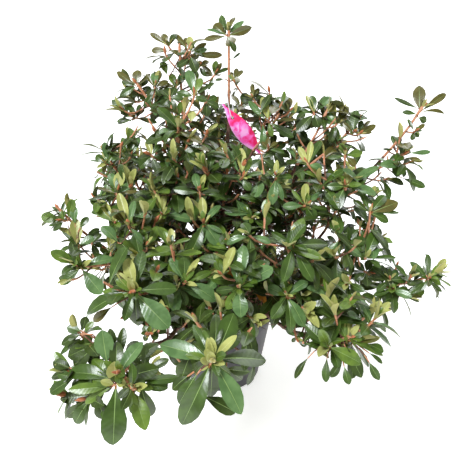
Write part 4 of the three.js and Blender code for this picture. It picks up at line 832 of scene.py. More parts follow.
@dataclass(frozen=True)
class PotFinish:
    """Moulded polypropylene: dark, with a soft sheen, flow marks and a little dust on it."""

    name: str = "moulded_polypropylene"
    colour: str = "#26252a"
    dust: str = "#3c3940"
    gloss: tuple[float, float] = (0.36, 0.6)
    grain: float = 0.0007
    smear: float = 0.045

    def material(self) -> bpy.types.Material:
        """Returns the material, with dust in soft upright smears and a fine moulded grain.

        Returns:
            The material.
        """
        material, tree, shader = shader_of(self.name, IOR=1.49)
        coordinates = add_node(tree, "ShaderNodeTexCoord")
        stretched = add_node(tree, "ShaderNodeMapping", {
            "Vector": coordinates.outputs["Object"], "Scale": (1.0, 1.0, 0.35)})
        dusty, smears = mottled(tree, stretched.outputs["Vector"], self.smear, 5.0, (0.45, 0.75),
                                (self.colour, self.dust))
        grain = add_node(tree, "ShaderNodeTexNoise", {
            "Vector": coordinates.outputs["Object"], "Scale": 1 / self.grain, "Detail": 1.0})
        dulled = add_node(tree, "ShaderNodeMapRange", {
            "Value": smears, "To Min": self.gloss[0], "To Max": self.gloss[1]})
        tree.links.new(dulled.outputs["Result"], shader.inputs["Roughness"])
        dress(tree, shader, grain.outputs["Fac"], 0.25, 0.0002, dusty)
        return material


@dataclass(frozen=True)
class CompostFinish:
    """Moist potting compost: dull peat crumbs with paler bark chips among them."""

    name: str = "peat_and_bark_compost"
    colour: str = "#2c1f18"
    chip: str = "#5b4330"
    crumb: float = 0.003

    def material(self) -> bpy.types.Material:
        """Returns the material, mottled at the size of a crumb.

        Returns:
            The material.
        """
        material, tree, shader = shader_of(self.name, Roughness=0.95, IOR=1.4)
        places = add_node(tree, "ShaderNodeTexCoord").outputs["Object"]
        chipped, crumbs = mottled(tree, places, self.crumb, 6.0, (0.52, 0.68), (self.colour, self.chip))
        dress(tree, shader, crumbs, 0.9, 0.001, chipped)
        return material


@dataclass(frozen=True)
class LabelFinish:
    """Thin printed sheet, varnished, with a painted glow of its own colour: pink inks that run together.
    """

    name: str = "printed_label_sheet"
    colours: tuple[str, ...] = ("#ea2466", "#fb4a9c", "#ff74cd", "#ffb4ee")
    painted_glow: float = 0.4
    patch: float = 0.013
    edge: float = 0.3

    def material(self) -> bpy.types.Material:
        """Returns the material, with soft patches of each ink.

        Returns:
            The material.
        """
        material, tree, shader = shader_of(
            self.name, Roughness=0.32, IOR=1.55, Coat_Weight=0.4, Coat_Roughness=0.15)
        coordinates = add_node(tree, "ShaderNodeTexCoord")
        patches = add_node(tree, "ShaderNodeTexNoise", {
            "Vector": coordinates.outputs["Object"], "Scale": 1 / self.patch, "Detail": 3.0,
            "Distortion": 0.6})
        across = add_node(tree, "ShaderNodeSeparateXYZ", {0: coordinates.outputs["UV"]})
        paler = add_node(tree, "ShaderNodeMapRange", {
            "Value": across.outputs["Y"], "To Min": self.edge / 2, "To Max": -self.edge / 2})
        inks = add_node(tree, "ShaderNodeMath", {
            0: patches.outputs["Fac"], 1: paler.outputs["Result"]}, operation="ADD")
        ramp = add_node(tree, "ShaderNodeValToRGB", {"Fac": inks.outputs[0]})
        elements = ramp.color_ramp.elements
        for i, colour in enumerate(self.colours):
            place_on_ramp = mix(0.36, 0.64, i / (len(self.colours) - 1))
            element = elements[i] if i < 2 else elements.new(place_on_ramp)
            element.position = place_on_ramp
            element.color = linear(colour)
        for socket in ("Base Color", "Emission Color"):
            tree.links.new(ramp.outputs["Color"], shader.inputs[socket])
        # The inks also glow: a painted light on the label, which is no lamp.
        shader.inputs["Emission Strength"].default_value = self.painted_glow
        return material


@dataclass(frozen=True)
class PlainFinish:
    """A smooth even surface with the faint unevenness of a fine grain."""

    name: str
    colour: str
    roughness: float
    grain: float
    lift: float = 0.1
    hair: float = 0.0

    def material(self) -> bpy.types.Material:
        """Returns the material, with its grain as a faint relief.

        Returns:
            The material.
        """
        material, tree, shader = shader_of(
            self.name, Base_Color=linear(self.colour), Roughness=self.roughness,
            Sheen_Weight=self.hair)
        coordinates = add_node(tree, "ShaderNodeTexCoord")
        grain = add_node(tree, "ShaderNodeTexNoise", {
            "Vector": coordinates.outputs["Object"], "Scale": 1 / self.grain, "Detail": 2.0})
        dress(tree, shader, grain.outputs["Fac"], self.lift, self.grain / 4)
        return material


LEAF_FINISHES = (
    # The deep green is partly painted shade, for the leaves in the crown's inside.
    LeafFinish("leaf_upper_skin_deep", "#304115", "#40531f"),
    LeafFinish("leaf_upper_skin_green", "#456020", "#364c18"),
    LeafFinish("leaf_upper_skin_fresh", "#66802d", "#4e6724"),
    LeafFinish("young_leaf_skin", "#b3b769", "#9da257", roughness=0.5, vein_lift=0.2, hair=0.25),
    LeafFinish("ageing_leaf_skin", "#c08a2c", "#b4701f", roughness=0.45),
    LeafFinish("leaf_midrib", "#86a05c", "#7a9453", roughness=0.45, vein_lift=0.0),
    LeafFinish("young_leaf_midrib", "#c3c588", "#b3b67c", roughness=0.5, vein_lift=0.0),
    LeafFinish("leaf_underside", "#646c34", "#58612f", roughness=0.62, wax=0.0, hair=0.15),
    LeafFinish("young_leaf_underside", "#b5b26a", "#a5a35c", roughness=0.6, wax=0.0, hair=0.3),
    LeafFinish("leaf_stalk", "#a5723c", "#92652f", roughness=0.6, vein_lift=0.0, hair=0.3),
    LeafFinish("leaf_upper_skin_olive", "#525020", "#625c28"),
    # The pale tone: a lighter green that paints a leaf's sheen.
    LeafFinish("leaf_upper_skin_bloom", "#65844f", "#4c6b3a", roughness=0.27, hair=0.15),
)
TWIG_FINISHES = (
    BarkFinish("twig_bark", "#6b4637", "#85624f", "#38241b", grain=0.0012, flake_size=0.006),
    BarkFinish("young_shoot_bark", "#c4815c", "#d5a07f", "#9c5836", roughness=0.7, grain=0.001,
               flake_size=0.005),
)
BOUGH_FINISH = BarkFinish("bough_bark", "#5f4334", "#84695a", "#2e2019")
BUD_FINISHES = (
    PlainFinish("bud_scales", "#b46a3c", 0.6, 0.0008, 0.4, 0.3),
    PlainFinish("pale_bud_scales", "#a9a05c", 0.6, 0.0008, 0.4, 0.3),
)


@dataclass
class MeshParts:
    """Many closed shapes that are joined into one mesh from arrays."""

    points: list[np.ndarray] = field(default_factory=list)
    totals: list[np.ndarray] = field(default_factory=list)
    loops: list[np.ndarray] = field(default_factory=list)
    slots: list[np.ndarray] = field(default_factory=list)
    maps: list[np.ndarray] = field(default_factory=list)
    count: int = 0

    def add(self, points: np.ndarray, totals: np.ndarray, loops: np.ndarray, slots: np.ndarray,
            maps: np.ndarray) -> None:
        """Adds one closed shape.

        Args:
            points: its vertices.
            totals: how many corners each face has.
            loops: the faces' corners in turn, as numbers of its own vertices.
            slots: each face's material slot.
            maps: the place of each vertex on its map.
        """
        self.points.append(points)
        self.totals.append(totals)
        self.loops.append(loops + self.count)
        self.slots.append(slots)
        self.maps.append(maps)
        self.count += len(points)

    def piece(self, name: str, materials: Iterable[bpy.types.Material],
              sharp: float = math.radians(60)) -> bpy.types.Object:
        """Makes the joined piece.

        Args:
            name: the object's name.
            materials: the materials of its slots, in order.
            sharp: the angle between faces past which an edge stays sharp.

        Returns:
            The new object, with its place in its mesh.
        """
        points = np.concatenate(self.points)
        totals = np.concatenate(self.totals)
        loops = np.concatenate(self.loops)
        mesh = bpy.data.meshes.new(name)
        mesh.vertices.add(len(points))
        mesh.vertices.foreach_set("co", points.astype(np.float32).ravel())
        mesh.loops.add(len(loops))
        mesh.loops.foreach_set("vertex_index", loops.astype(np.int32))
        mesh.polygons.add(len(totals))
        mesh.polygons.foreach_set("loop_start", (np.cumsum(totals) - totals).astype(np.int32))
        mesh.polygons.foreach_set("material_index", np.concatenate(self.slots).astype(np.int32))
        mesh.update(calc_edges=True)
        layer = mesh.uv_layers.new(name="UVMap")
        layer.data.foreach_set("uv", np.concatenate(self.maps)[loops].astype(np.float32).ravel())
        for material in materials:
            mesh.materials.append(material)
        mesh.shade_smooth()
        mesh.set_sharp_from_angle(angle=sharp)
        piece = bpy.data.objects.new(name, mesh)
        bpy.context.scene.collection.objects.link(piece)
        return piece


def tube(parts: MeshParts, line: np.ndarray, radii: np.ndarray, sides: int,
         slots: np.ndarray, relief: Any = None) -> None:
    """Adds a closed limb of round section along a line.

    Args:
        parts: what the limb is added to.
        line: its points.
        radii: its radius at each point.
        sides: how many sides it has.
        slots: the material slot of each of its stretches.
        relief: a function of the vertices, their outward directions and the distance along the
            limb that returns how far each vertex stands out.
    """
    count = len(line)
    along = np.gradient(line, axis=0)
    along /= np.linalg.norm(along, axis=1)[:, None]
    across = square_to(along[0])[0]
    angles = 2 * math.pi * np.arange(sides) / sides
    rings = np.empty((count, sides, 3))
    outward = np.empty((count, sides, 3))
    for i in range(count):
        across = unit(across - along[i] * np.dot(across, along[i]))
        upright = np.cross(along[i], across)
        outward[i] = np.cos(angles)[:, None] * across + np.sin(angles)[:, None] * upright
        rings[i] = line[i] + radii[i] * outward[i]
    if relief is not None:
        travelled = np.concatenate(([0], np.cumsum(np.linalg.norm(np.diff(line, axis=0), axis=1))))
        rings += outward * relief(rings, outward, travelled)[:, :, None]
    points = np.concatenate((rings.reshape(-1, 3), line[:1], line[-1:]))
    side = np.arange(sides)
    following = (side + 1) % sides
    ring = np.arange(count - 1)[:, None] * sides
    quads = np.stack((ring + side, ring + following, ring + sides + following, ring + sides + side),
                     axis=2).reshape(-1, 4)
    foot, tip = count * sides, count * sides + 1
    last = (count - 1) * sides
    caps = np.concatenate((
        np.stack((np.full(sides, foot), following, side), axis=1),
        np.stack((np.full(sides, tip), last + side, last + following), axis=1)))
    totals = np.concatenate((np.full(len(quads), 4), np.full(len(caps), 3)))
    loops = np.concatenate((quads.ravel(), caps.ravel()))
    slots_by_face = np.concatenate((
        np.repeat(slots, sides), np.full(sides, slots[0]), np.full(sides, slots[-1])))
    share = np.repeat(np.arange(count) / (count - 1), sides)
    maps = np.concatenate((np.stack((np.tile(side / sides, count), share), axis=1),
                           np.array(((0.5, 0.0), (0.5, 1.0)))))
    parts.add(points, totals, loops, slots_by_face, maps)


class Viewer:
    """The photograph's camera, which turns a place in the picture into a place in the crown."""

    eye = np.array(CAMERA_PLACE)
    right = np.array((1.0, 0.0, 0.0))
    ahead = np.array((0.0, math.cos(math.radians(CAMERA_PITCH)),
                      -math.sin(math.radians(CAMERA_PITCH))))
    up = np.array((0.0, math.sin(math.radians(CAMERA_PITCH)),
                   math.cos(math.radians(CAMERA_PITCH))))

    @classmethod
    def pixels(cls, points: np.ndarray) -> np.ndarray:
        """Returns where points fall in the picture: across, down and how far ahead.

        Args:
            points: the points, in metres.

        Returns:
            An array of three numbers to a point.
        """
        offsets = points - cls.eye
        depth = offsets @ cls.ahead
        return np.stack((IMAGE_PIXELS / 2 + FOCAL_PIXELS * (offsets @ cls.right) / depth,
                         IMAGE_PIXELS / 2 - FOCAL_PIXELS * (offsets @ cls.up) / depth, depth), axis=-1)

    @classmethod
    def point(cls, x: float, y: float, depth: float) -> np.ndarray:
        """Returns the point that falls at a pixel of the picture, some way ahead.

        Args:
            x: how many pixels across.
            y: how many pixels down.
            depth: metres ahead.

        Returns:
            The point, in metres.
        """
        across = (x - IMAGE_PIXELS / 2) / FOCAL_PIXELS
        rise = (IMAGE_PIXELS / 2 - y) / FOCAL_PIXELS
        return cls.eye + depth * (cls.ahead + cls.right * across + cls.up * rise)

    @classmethod
    def in_opening(cls, points: np.ndarray, openings: tuple[Opening, ...] = OPENINGS) -> np.ndarray:
        """Says which points fall in an opening of the picture.

        Args:
            points: the points to try.
            openings: the round places in the picture.

        Returns:
            True for each point in one of them.
        """
        seen = cls.pixels(points)[:, None, :2]
        centres = np.array([(opening.x, opening.y) for opening in openings])
        radii = np.array([opening.radius for opening in openings])
        return (np.linalg.norm(seen - centres, axis=2) < radii).any(axis=1)


@dataclass(frozen=True)
class Hanging:
    """Where the label and its tie hang: on the tallest shoot, in front of its stem."""

    length: float = 0.110
    width: float = 0.030
    curl: float = 0.008
    slope: float = 53
    hole_inset: float = 0.028
    hole_lift: float = 0.0012
    tie_top: float = 0.526
    tie_foot: float = 0.472
    tie_bearing: float = 45
    tie_standoff: float = 0.0034
    tie_reach: float = 0.0095
    tie_half_width: float = 0.005
    stem: str = "top_centre_foliage"

    @property
    def along(self) -> np.ndarray:
        """The direction in which the label hangs from its hole."""
        angle = math.radians(self.slope)
        return np.array((math.cos(angle), 0.0, -math.sin(angle)))

    def tie_loop(self, stem: np.ndarray, steps: int) -> np.ndarray:
        """Returns the points of the tie's loop.

        Args:
            stem: the line of the stem that it hooks over.
            steps: how many points the loop has.

        Returns:
            The points, from the loop's foot round to it again.
        """
        side = place(self.tie_bearing, 1, 0)
        top = self.at_height(stem, self.tie_top) - side * self.tie_standoff
        foot = self.at_height(stem, self.tie_foot) + side * self.tie_reach
        down = foot - top
        angles = 2 * math.pi * np.arange(steps)[:, None] / steps
        across = np.cross(UP, side) * self.tie_half_width
        return (top + foot) / 2 + down / 2 * np.cos(angles) + across * np.sin(angles)

    @staticmethod
    def at_height(line: np.ndarray, height: float) -> np.ndarray:
        """Returns the point of a rising line at a height.

        Args:
            line: the points of the line.
            height: the height to find.

        Returns:
            The point.
        """
        above = int(np.argmax(line[:, 2] >= height))
        low, high = line[above - 1], line[above]
        return mix(low, high, (height - low[2]) / (high[2] - low[2]))

    @staticmethod
    def bow(share: float) -> float:
        """Returns how far the label's midline bows out at a share of its length."""
        return math.cos(math.pi * (share - 0.5))

    def point(self, hole: np.ndarray, share: float, aside: float) -> np.ndarray:
        """Returns a point of the label.

        Args:
            hole: the centre of the label's hole.
            share: how far down the label the point is.
            aside: how far to the side of its midline the point is.

        Returns:
            The point on the curled label.
        """
        head = hole - self.along * self.hole_inset
        across = np.cross(self.along, (0.0, 1.0, 0.0))
        bow = self.bow(share) - self.bow(self.hole_inset / self.length)
        curl = self.curl * (bow - 2 * (aside / self.width) ** 2)
        return head + self.along * self.length * share + across * aside - np.array((0, curl, 0))


@dataclass
class Skeleton:
    """The lines of the boughs and the stems, and the space that each mass keeps to."""

    pot_height: float = 0.148
    rim_radius: float = 0.095
    compost_drop: float = 0.012
    compost_rise: float = 0.003
    seat_gap: float = 0.0003
    limb_gap: float = 0.0004
    bough_foot: float = 0.0044
    bough_tip: float = 0.0027
    bough_taper: float = 0.8
    bough_steps: int = 7
    wander: float = 0.005
    sways: float = 1.1
    bough_lift: float = 0.35
    stem_radius: float = 0.0019
    stem_steps: int = 4
    stem_lift: float = 0.5
    space_share: float = 0.6
    ground_clearance: float = 0.004
    pot_clearance: float = 0.005
    space_gap: float = 0.0005
    label_front: tuple[float, ...] = (0.25, 0.5, 0.8)
    sight_shares: tuple[float, ...] = (0, 0.25, 0.5, 0.75, 1)
    sight_steps: int = 14
    sight_pitch: float = 0.022
    sight_radius: float = 0.015
    hanging: Hanging = Hanging()

    @property
    def sight(self) -> np.ndarray:
        """The direction from the label towards the viewer."""
        return unit(np.array(CAMERA_PLACE) - self.hanging.point(self.hole, 0.5, 0))

    def hides_label(self, points: np.ndarray) -> np.ndarray:
        """Says which points lie between the label and the viewer."""
        gaps = gaps_between(points, self.sight_starts, self.sight_runs)
        return (gaps < self.sight_radius).any(axis=1)

    def __post_init__(self) -> None:
        """Works out every line, space and keep-out stretch."""
        self.stool_foot = self.pot_height - self.compost_drop + self.compost_rise + self.seat_gap
        self.boughs = {b.name: self.bough_line(i, self.bough_steps) for i, b in enumerate(BOUGHS)}
        self.stems = [self.stem_line(mass) for mass in MASSES]
        self.hearts = np.array([
            point_along(stem, mix(mass.start, 1, self.space_share))
            for stem, mass in zip(self.stems, MASSES)])
        self.rooms = np.array([mass.spread + self.space_share * mass.leaf for mass in MASSES])
        tallest = next(i for i, mass in enumerate(MASSES) if mass.name == self.hanging.stem)
        self.tie_stem = self.stems[tallest]
        self.hole = self.hanging.tie_loop(self.tie_stem, 18)[0] + UP * self.hanging.hole_lift
        self.gather_spans(tallest)

    def stub(self, bough: Bough) -> tuple[np.ndarray, np.ndarray, np.ndarray]:
        """Returns the root, direction and end of a bough's stub on the stool.

        Args:
            bough: the bough.

        Returns:
            The three vectors.
        """
        rise, height, arm = bough.tier.value
        direction = place(bough.turn, math.cos(math.radians(rise)), math.sin(math.radians(rise)))
        root = np.array((0.0, 0.0, self.stool_foot + height))
        return root, direction, root + direction * arm

    def bough_line(self, index: int, steps: int) -> np.ndarray:
        """Returns the line of a bough, which wanders a little to the side.

        Args:
            index: the bough's place in BOUGHS.
            steps: how many stretches the line has.

        Returns:
            The points of the line.
        """
        bough = BOUGHS[index]
        _, direction, end = self.stub(bough)
        tip = place(bough.bearing, bough.reach, bough.height)
        start = end + direction * self.limb_gap
        outward = unit(tip - start)
        points = bend(start, direction, tip, unit(outward + UP * self.bough_lift), steps)
        turn = Draws(index + 1).between(0, 2 * math.pi)
        first, second = square_to(outward)
        share = np.linspace(0, 1, steps + 1)[:, None]
        wave = np.sin(2 * math.pi * self.sways * share + turn)
        sway = self.wander * np.sin(math.pi * share) ** 2 * wave
        return points + sway * (first * math.cos(turn) + second * math.sin(turn))

    def stem_line(self, mass: Mass) -> np.ndarray:
        """Returns the line of a mass's stem. Stems on one bough start evenly spaced on its tip.

        Args:
            mass: the mass.

        Returns:
            The points of the line.
        """
        bough = self.boughs[mass.bough]
        tip, direction = bough[-1], end_direction(bough)
        first, second = square_to(direction)
        angles = []
        for other in MASSES:
            if other.bough == mass.bough:
                toward = place(other.bearing, other.reach, other.height) - tip
                angles.append((math.atan2(toward @ second, toward @ first), other.name))
        angles.sort()
        rank = [name for _, name in angles].index(mass.name)
        pitch = 2 * math.pi / len(angles)
        sines = sum(math.sin(angle - pitch * i) for i, (angle, _) in enumerate(angles))
        cosines = sum(math.cos(angle - pitch * i) for i, (angle, _) in enumerate(angles))
        angle = math.atan2(sines, cosines) + pitch * rank
        shared = len(angles) > 1
        aside = (self.stem_radius + self.limb_gap) / math.sin(pitch / 2) if shared else 0
        start = (tip + direction * self.limb_gap
                 + (first * math.cos(angle) + second * math.sin(angle)) * aside)
        crest = place(mass.bearing, mass.reach, mass.height)
        outward = unit(crest - start)
        return bend(start, unit(outward + direction), crest, unit(outward + UP * self.stem_lift),
                    self.stem_steps)

    def gather_spans(self, tallest: int) -> None:
        """Gathers the straight stretches that leaves and twigs keep clear of.

        Args:
            tallest: the mass whose own stem carries the tie.
        """
        hang = self.hanging
        spans = []
        for line in self.boughs.values():
            spans += [(a, b, self.bough_foot, -1) for a, b in zip(line, line[1:])]
        for owner, line in enumerate(self.stems):
            spans += [(a, b, self.stem_radius, owner) for a, b in zip(line, line[1:])]
        for step in range(3):
            shift = np.array((0.0, -hang.width * step, hang.width / 2 * step))
            points = [hang.point(self.hole, share, 0) + shift for share in self.label_front]
            spans += [(a, b, hang.width / 2, -1) for a, b in zip(points, points[1:])]
        ends = [hang.point(self.hole, share, 0) for share in (0, 1)]
        spans.append((ends[0], ends[1], hang.width / 6, -1))
        loop = hang.tie_loop(self.tie_stem, 18)
        spans.append((loop[0], loop[9], hang.tie_half_width, tallest))
        self.span_starts = np.array([span[0] for span in spans])
        self.span_runs = np.array([span[1] - span[0] for span in spans])
        self.span_radii = np.array([span[2] for span in spans])
        self.span_owners = np.array([span[3] for span in spans])
        sight = []
        for step in range(self.sight_steps):
            shift = self.sight * self.sight_pitch * step
            points = [hang.point(self.hole, share, 0) + shift for share in self.sight_shares]
            sight += [(a, b - a) for a, b in zip(points, points[1:])]
        self.sight_starts = np.array([span[0] for span in sight])
        self.sight_runs = np.array([span[1] for span in sight])

    def clear_of_limbs(self, points: np.ndarray, owner: int, clearance: float) -> np.ndarray:
        """Says which points are clear of the ground, the pot and every limb but their own stem.

        Args:
            points: the points to try.
            owner: the mass that they belong to.
            clearance: how far from a limb's surface they stay.

        Returns:
            True for each point that is clear.
        """
        flat = np.hypot(points[:, 0], points[:, 1])
        clear = points[:, 2] >= self.ground_clearance
        over_pot = flat < self.rim_radius + self.pot_clearance
        clear &= ~(over_pot & (points[:, 2] < self.pot_height + self.pot_clearance))
        gaps = gaps_between(points, self.span_starts, self.span_runs)
        near = gaps <= self.span_radii + clearance
        near[:, self.span_owners == owner] = False
        return clear & ~near.any(axis=1)

    def is_free(self, points: np.ndarray, owner: int, clearance: float) -> np.ndarray:
        """Says which points also lie in their mass's own space.

        Args:
            points: the points to try.
            owner: the mass that they belong to.
            clearance: how far from a limb's surface they stay.

        Returns:
            True for each point that is free.
        """
        squares = ((points[:, None, :] - self.hearts) ** 2).sum(axis=2) - self.rooms ** 2
        apart = np.linalg.norm(self.hearts - self.hearts[owner], axis=1)
        apart[owner] = 1
        margins = (squares - squares[:, owner:owner + 1]) / (2 * apart)
        margins[:, owner] = 1
        return (margins >= self.space_gap).all(axis=1) & self.clear_of_limbs(points, owner, clearance)


@dataclass(frozen=True)
class LeafShape:
    """One leaf of unit length: an elliptic blade on a short stalk, as a closed thin shell.

    Its upper side is folded up from the midrib and rolled down at the edges, and its underside is
    keeled along the midrib. The blade rises from its stalk and arches over towards its tip.
    """

    width: float = 0.36
    base_power: float = 0.95
    tip_power: float = 0.62
    arch: float = 45
    fold: float = 0.28
    roll: float = 0.16
    twist: float = 8
    ripple: float = 0.012
    ripples: float = 1.5
    phase: float = 0.0
    stalk: float = 0.05
    stalk_width: float = 0.034
    rib: float = 0.010
    keel: float = 0.016
    level_at: float = 0.42
    side_at: float = 0.55
    stations: tuple[float, ...] = (0, 0.06, 0.2, 0.38, 0.56, 0.74, 0.88, 0.965, 1)

    def half_width(self, share: float) -> float:
        """Returns the half-width of the blade at a share of its length.

        Args:
            share: how far along the leaf, from 0 to 1.

        Returns:
            The half-width of a leaf of unit length.
        """
        inner = max(0.0, (share - self.stalk) / (1 - self.stalk))
        crest = self.base_power / (self.base_power + self.tip_power)
        full = crest ** self.base_power * (1 - crest) ** self.tip_power
        swell = inner ** self.base_power * (1 - inner) ** self.tip_power / full
        return max(self.stalk_width / 2 * (1 - inner), self.width / 2 * swell)

    def rows(self) -> tuple[np.ndarray, np.ndarray]:
        """Returns the vertices and their map: seven to a station, and one at the tip.

        A station holds the left edge, the left side, the two edges of the midrib, the right side,
        the right edge and the keel below.

        Returns:
            The two arrays.
        """
        points, maps = [], []
        centre = np.zeros(3)
        previous = 0.0
        for share in self.stations:
            angle = math.radians(self.arch) * (self.level_at - share)
            tangent = np.array((0.0, math.cos(angle), math.sin(angle)))
            centre = centre + tangent * (share - previous)
            previous = share
            if share == 1:
                points.append(centre)
                maps.append((0.5, 1.0))
                continue
            normal = np.array((0.0, -tangent[2], tangent[1]))
            turn = math.radians(self.twist) * share
            across = np.array((math.cos(turn), 0.0, 0.0)) + normal * math.sin(turn)
            half = self.half_width(share)
            groove = min(self.rib * (1 - 0.85 * share), half * 0.4)
            fold = self.fold * (1.3 - 0.6 * share)
            wave = self.ripple * math.sin(2 * math.pi * self.ripples * share + self.phase)
            wave *= math.sin(math.pi * share)
            for side in (-1, -self.side_at, -groove / half, groove / half, self.side_at, 1):
                height = half * (fold * abs(side) - self.roll * side ** 4)
                points.append(centre + across * half * side
                              + normal * (height + wave * abs(side) * math.copysign(1, side)))
                maps.append((0.5 + side / 2, share))
            points.append(centre - normal * self.keel * (1 - 0.5 * share))
            maps.append((0.5, share))
        return np.array(points), np.array(maps)

    def faces(self) -> tuple[np.ndarray, np.ndarray, np.ndarray]:
        """Returns the faces' corner counts, their corners and zones.

        A zone is 0 for the blade, 1 for the midrib, 2 for the underside and 3 for the stalk.

        Returns:
            The three arrays.
        """
        faces, zones = [], []
        rows = len(self.stations) - 1
        tip = rows * 7
        for row in range(rows):
            low, high = row * 7, (row + 1) * 7
            for column in range(5):
                if row + 1 < rows:
                    faces.append((low + column, low + column + 1, high + column + 1, high + column))
                else:
                    faces.append((low + column, low + column + 1, tip))
                zones.append(3 if row == 0 else 1 if column == 2 else 0)
            for left, right in ((0, 6), (6, 5)):
                if row + 1 < rows:
                    faces.append((low + left, high + left, high + right, low + right))
                else:
                    faces.append((low + left, tip, low + right))
                zones.append(3 if row == 0 else 2)
        faces.append((5, 4, 3, 2, 1, 0, 6))
        zones.append(2)
        totals = np.array([len(face) for face in faces])
        return totals, np.array([corner for face in faces for corner in face]), np.array(zones)


@dataclass
class LeafHeap:
    """The leaves of one part of the crown, kept as arrays until they are joined."""

    shapes: list[LeafShape]
    picks: list[int] = field(default_factory=list)
    origins: list[np.ndarray] = field(default_factory=list)
    turns: list[np.ndarray] = field(default_factory=list)
    tones: list[Tone] = field(default_factory=list)

    def add(self, pick: int, origin: np.ndarray, turn: np.ndarray, tone: Tone) -> None:
        """Adds a leaf.

        Args:
            pick: the number of its shape.
            origin: where its stalk begins.
            turn: the rows that its own x, y and z axes become, scaled to its size.
            tone: the finish of its upper side.
        """
        self.picks.append(pick)
        self.origins.append(origin)
        self.turns.append(turn)
        self.tones.append(tone)

    def join(self, parts: MeshParts) -> None:
        """Adds every leaf to a joined mesh, one shape after the other.

        Args:
            parts: what the leaves are added to.
        """
        picks = np.array(self.picks)
        origins, turns = np.array(self.origins), np.array(self.turns)
        tones = np.array([tone.value for tone in self.tones])
        for number, shape in enumerate(self.shapes):
            chosen = np.flatnonzero(picks == number)
            if not len(chosen):
                continue
            points, maps = shape.rows()
            totals, loops, zones = shape.faces()
            placed = origins[chosen][:, None, :] + np.einsum("vk,nkj->nvj", points, turns[chosen])
            starts = np.arange(len(chosen))[:, None] * len(points)
            tone = tones[chosen][:, None]
            young = tone == Tone.YOUNG.value
            rib = np.where(young, Tone.YOUNG_RIB.value, Tone.RIB.value)
            rib = np.where(tone == Tone.YELLOW.value, Tone.YELLOW.value, rib)
            below = np.where(young, Tone.YOUNG_UNDERSIDE.value, Tone.UNDERSIDE.value)
            below = np.where(tone == Tone.YELLOW.value, Tone.YELLOW.value, below)
            slots = np.where(zones == 0, tone, np.where(zones == 1, rib, below))
            slots = np.where(zones == 3, Tone.STALK.value, slots)
            parts.add(placed.reshape(-1, 3), np.tile(totals, len(chosen)),
                      (loops + starts).ravel(), slots.ravel(), np.tile(maps, (len(chosen), 1)))


@dataclass(frozen=True)
class Shoot:
    """A twig with a whorl at its end."""

    line: np.ndarray
    axis: np.ndarray
    radius: float
    leaf: float
    outer: int
    inner: int
    seed: int
    rank: int
    seen: Rosette | SeenShoot | None = None


@dataclass(frozen=True)
class WhorlHabit:
    """How the leaves of a whorl stand, and how their tones are dealt out.

    Leans, sizes and heights run from the newest leaf to the oldest. A range is where a grade starts
    and how far it runs, in metres. Shares are of deep, green, fresh and pale leaves.
    """

    turn_spread: float = 0.2
    young_leans: tuple[float, float] = (5, 30)
    young_lean_spread: float = 5
    young_sizes: tuple[float, float] = (0.5, 0.84)
    young_size_spread: tuple[float, float] = (0.88, 1.12)
    young_heights: tuple[float, float] = (0.004, 0.001)
    young_share: float = 0.75
    sunny_size: float = 0.15
    old_leans: tuple[float, float] = (46, 96)
    old_lean_spread: float = 9
    old_sizes: tuple[float, float] = (0.74, 1.06)
    old_size_spread: tuple[float, float] = (0.86, 1.1)
    old_heights: tuple[float, float] = (0.001, -0.008)
    old_height_spread: float = 0.001
    tall_upright: float = 8
    tall_size: float = 0.1
    droop: float = 0.3
    yellow_share: float = 0.004
    olive_share: float = 0.7
    # The pale share deals out leaves with a painted sheen.
    shares: tuple[float, ...] = (0.36, 0.34, 0.14, 0.16)
    sunny_shift: float = 0.2
    # The inner shoots' leaves are mostly deep: painted shade inside the crown.
    inner_shares: tuple[float, ...] = (0.8, 0.2, 0, 0)
    tall_range: tuple[float, float] = (0.36, 0.14)
    olive_range: tuple[float, float] = (0.42, 0.12)
    sunny_range: tuple[float, float] = (0.05, 0.12)
    sunny_above: float = 0.25

    @staticmethod
    def grade(value: float, start: float, run: float) -> float:
        """Returns how far a value has come from a start over a run, from 0 to 1."""
        return min(1.0, max(0.0, (value - start) / run))


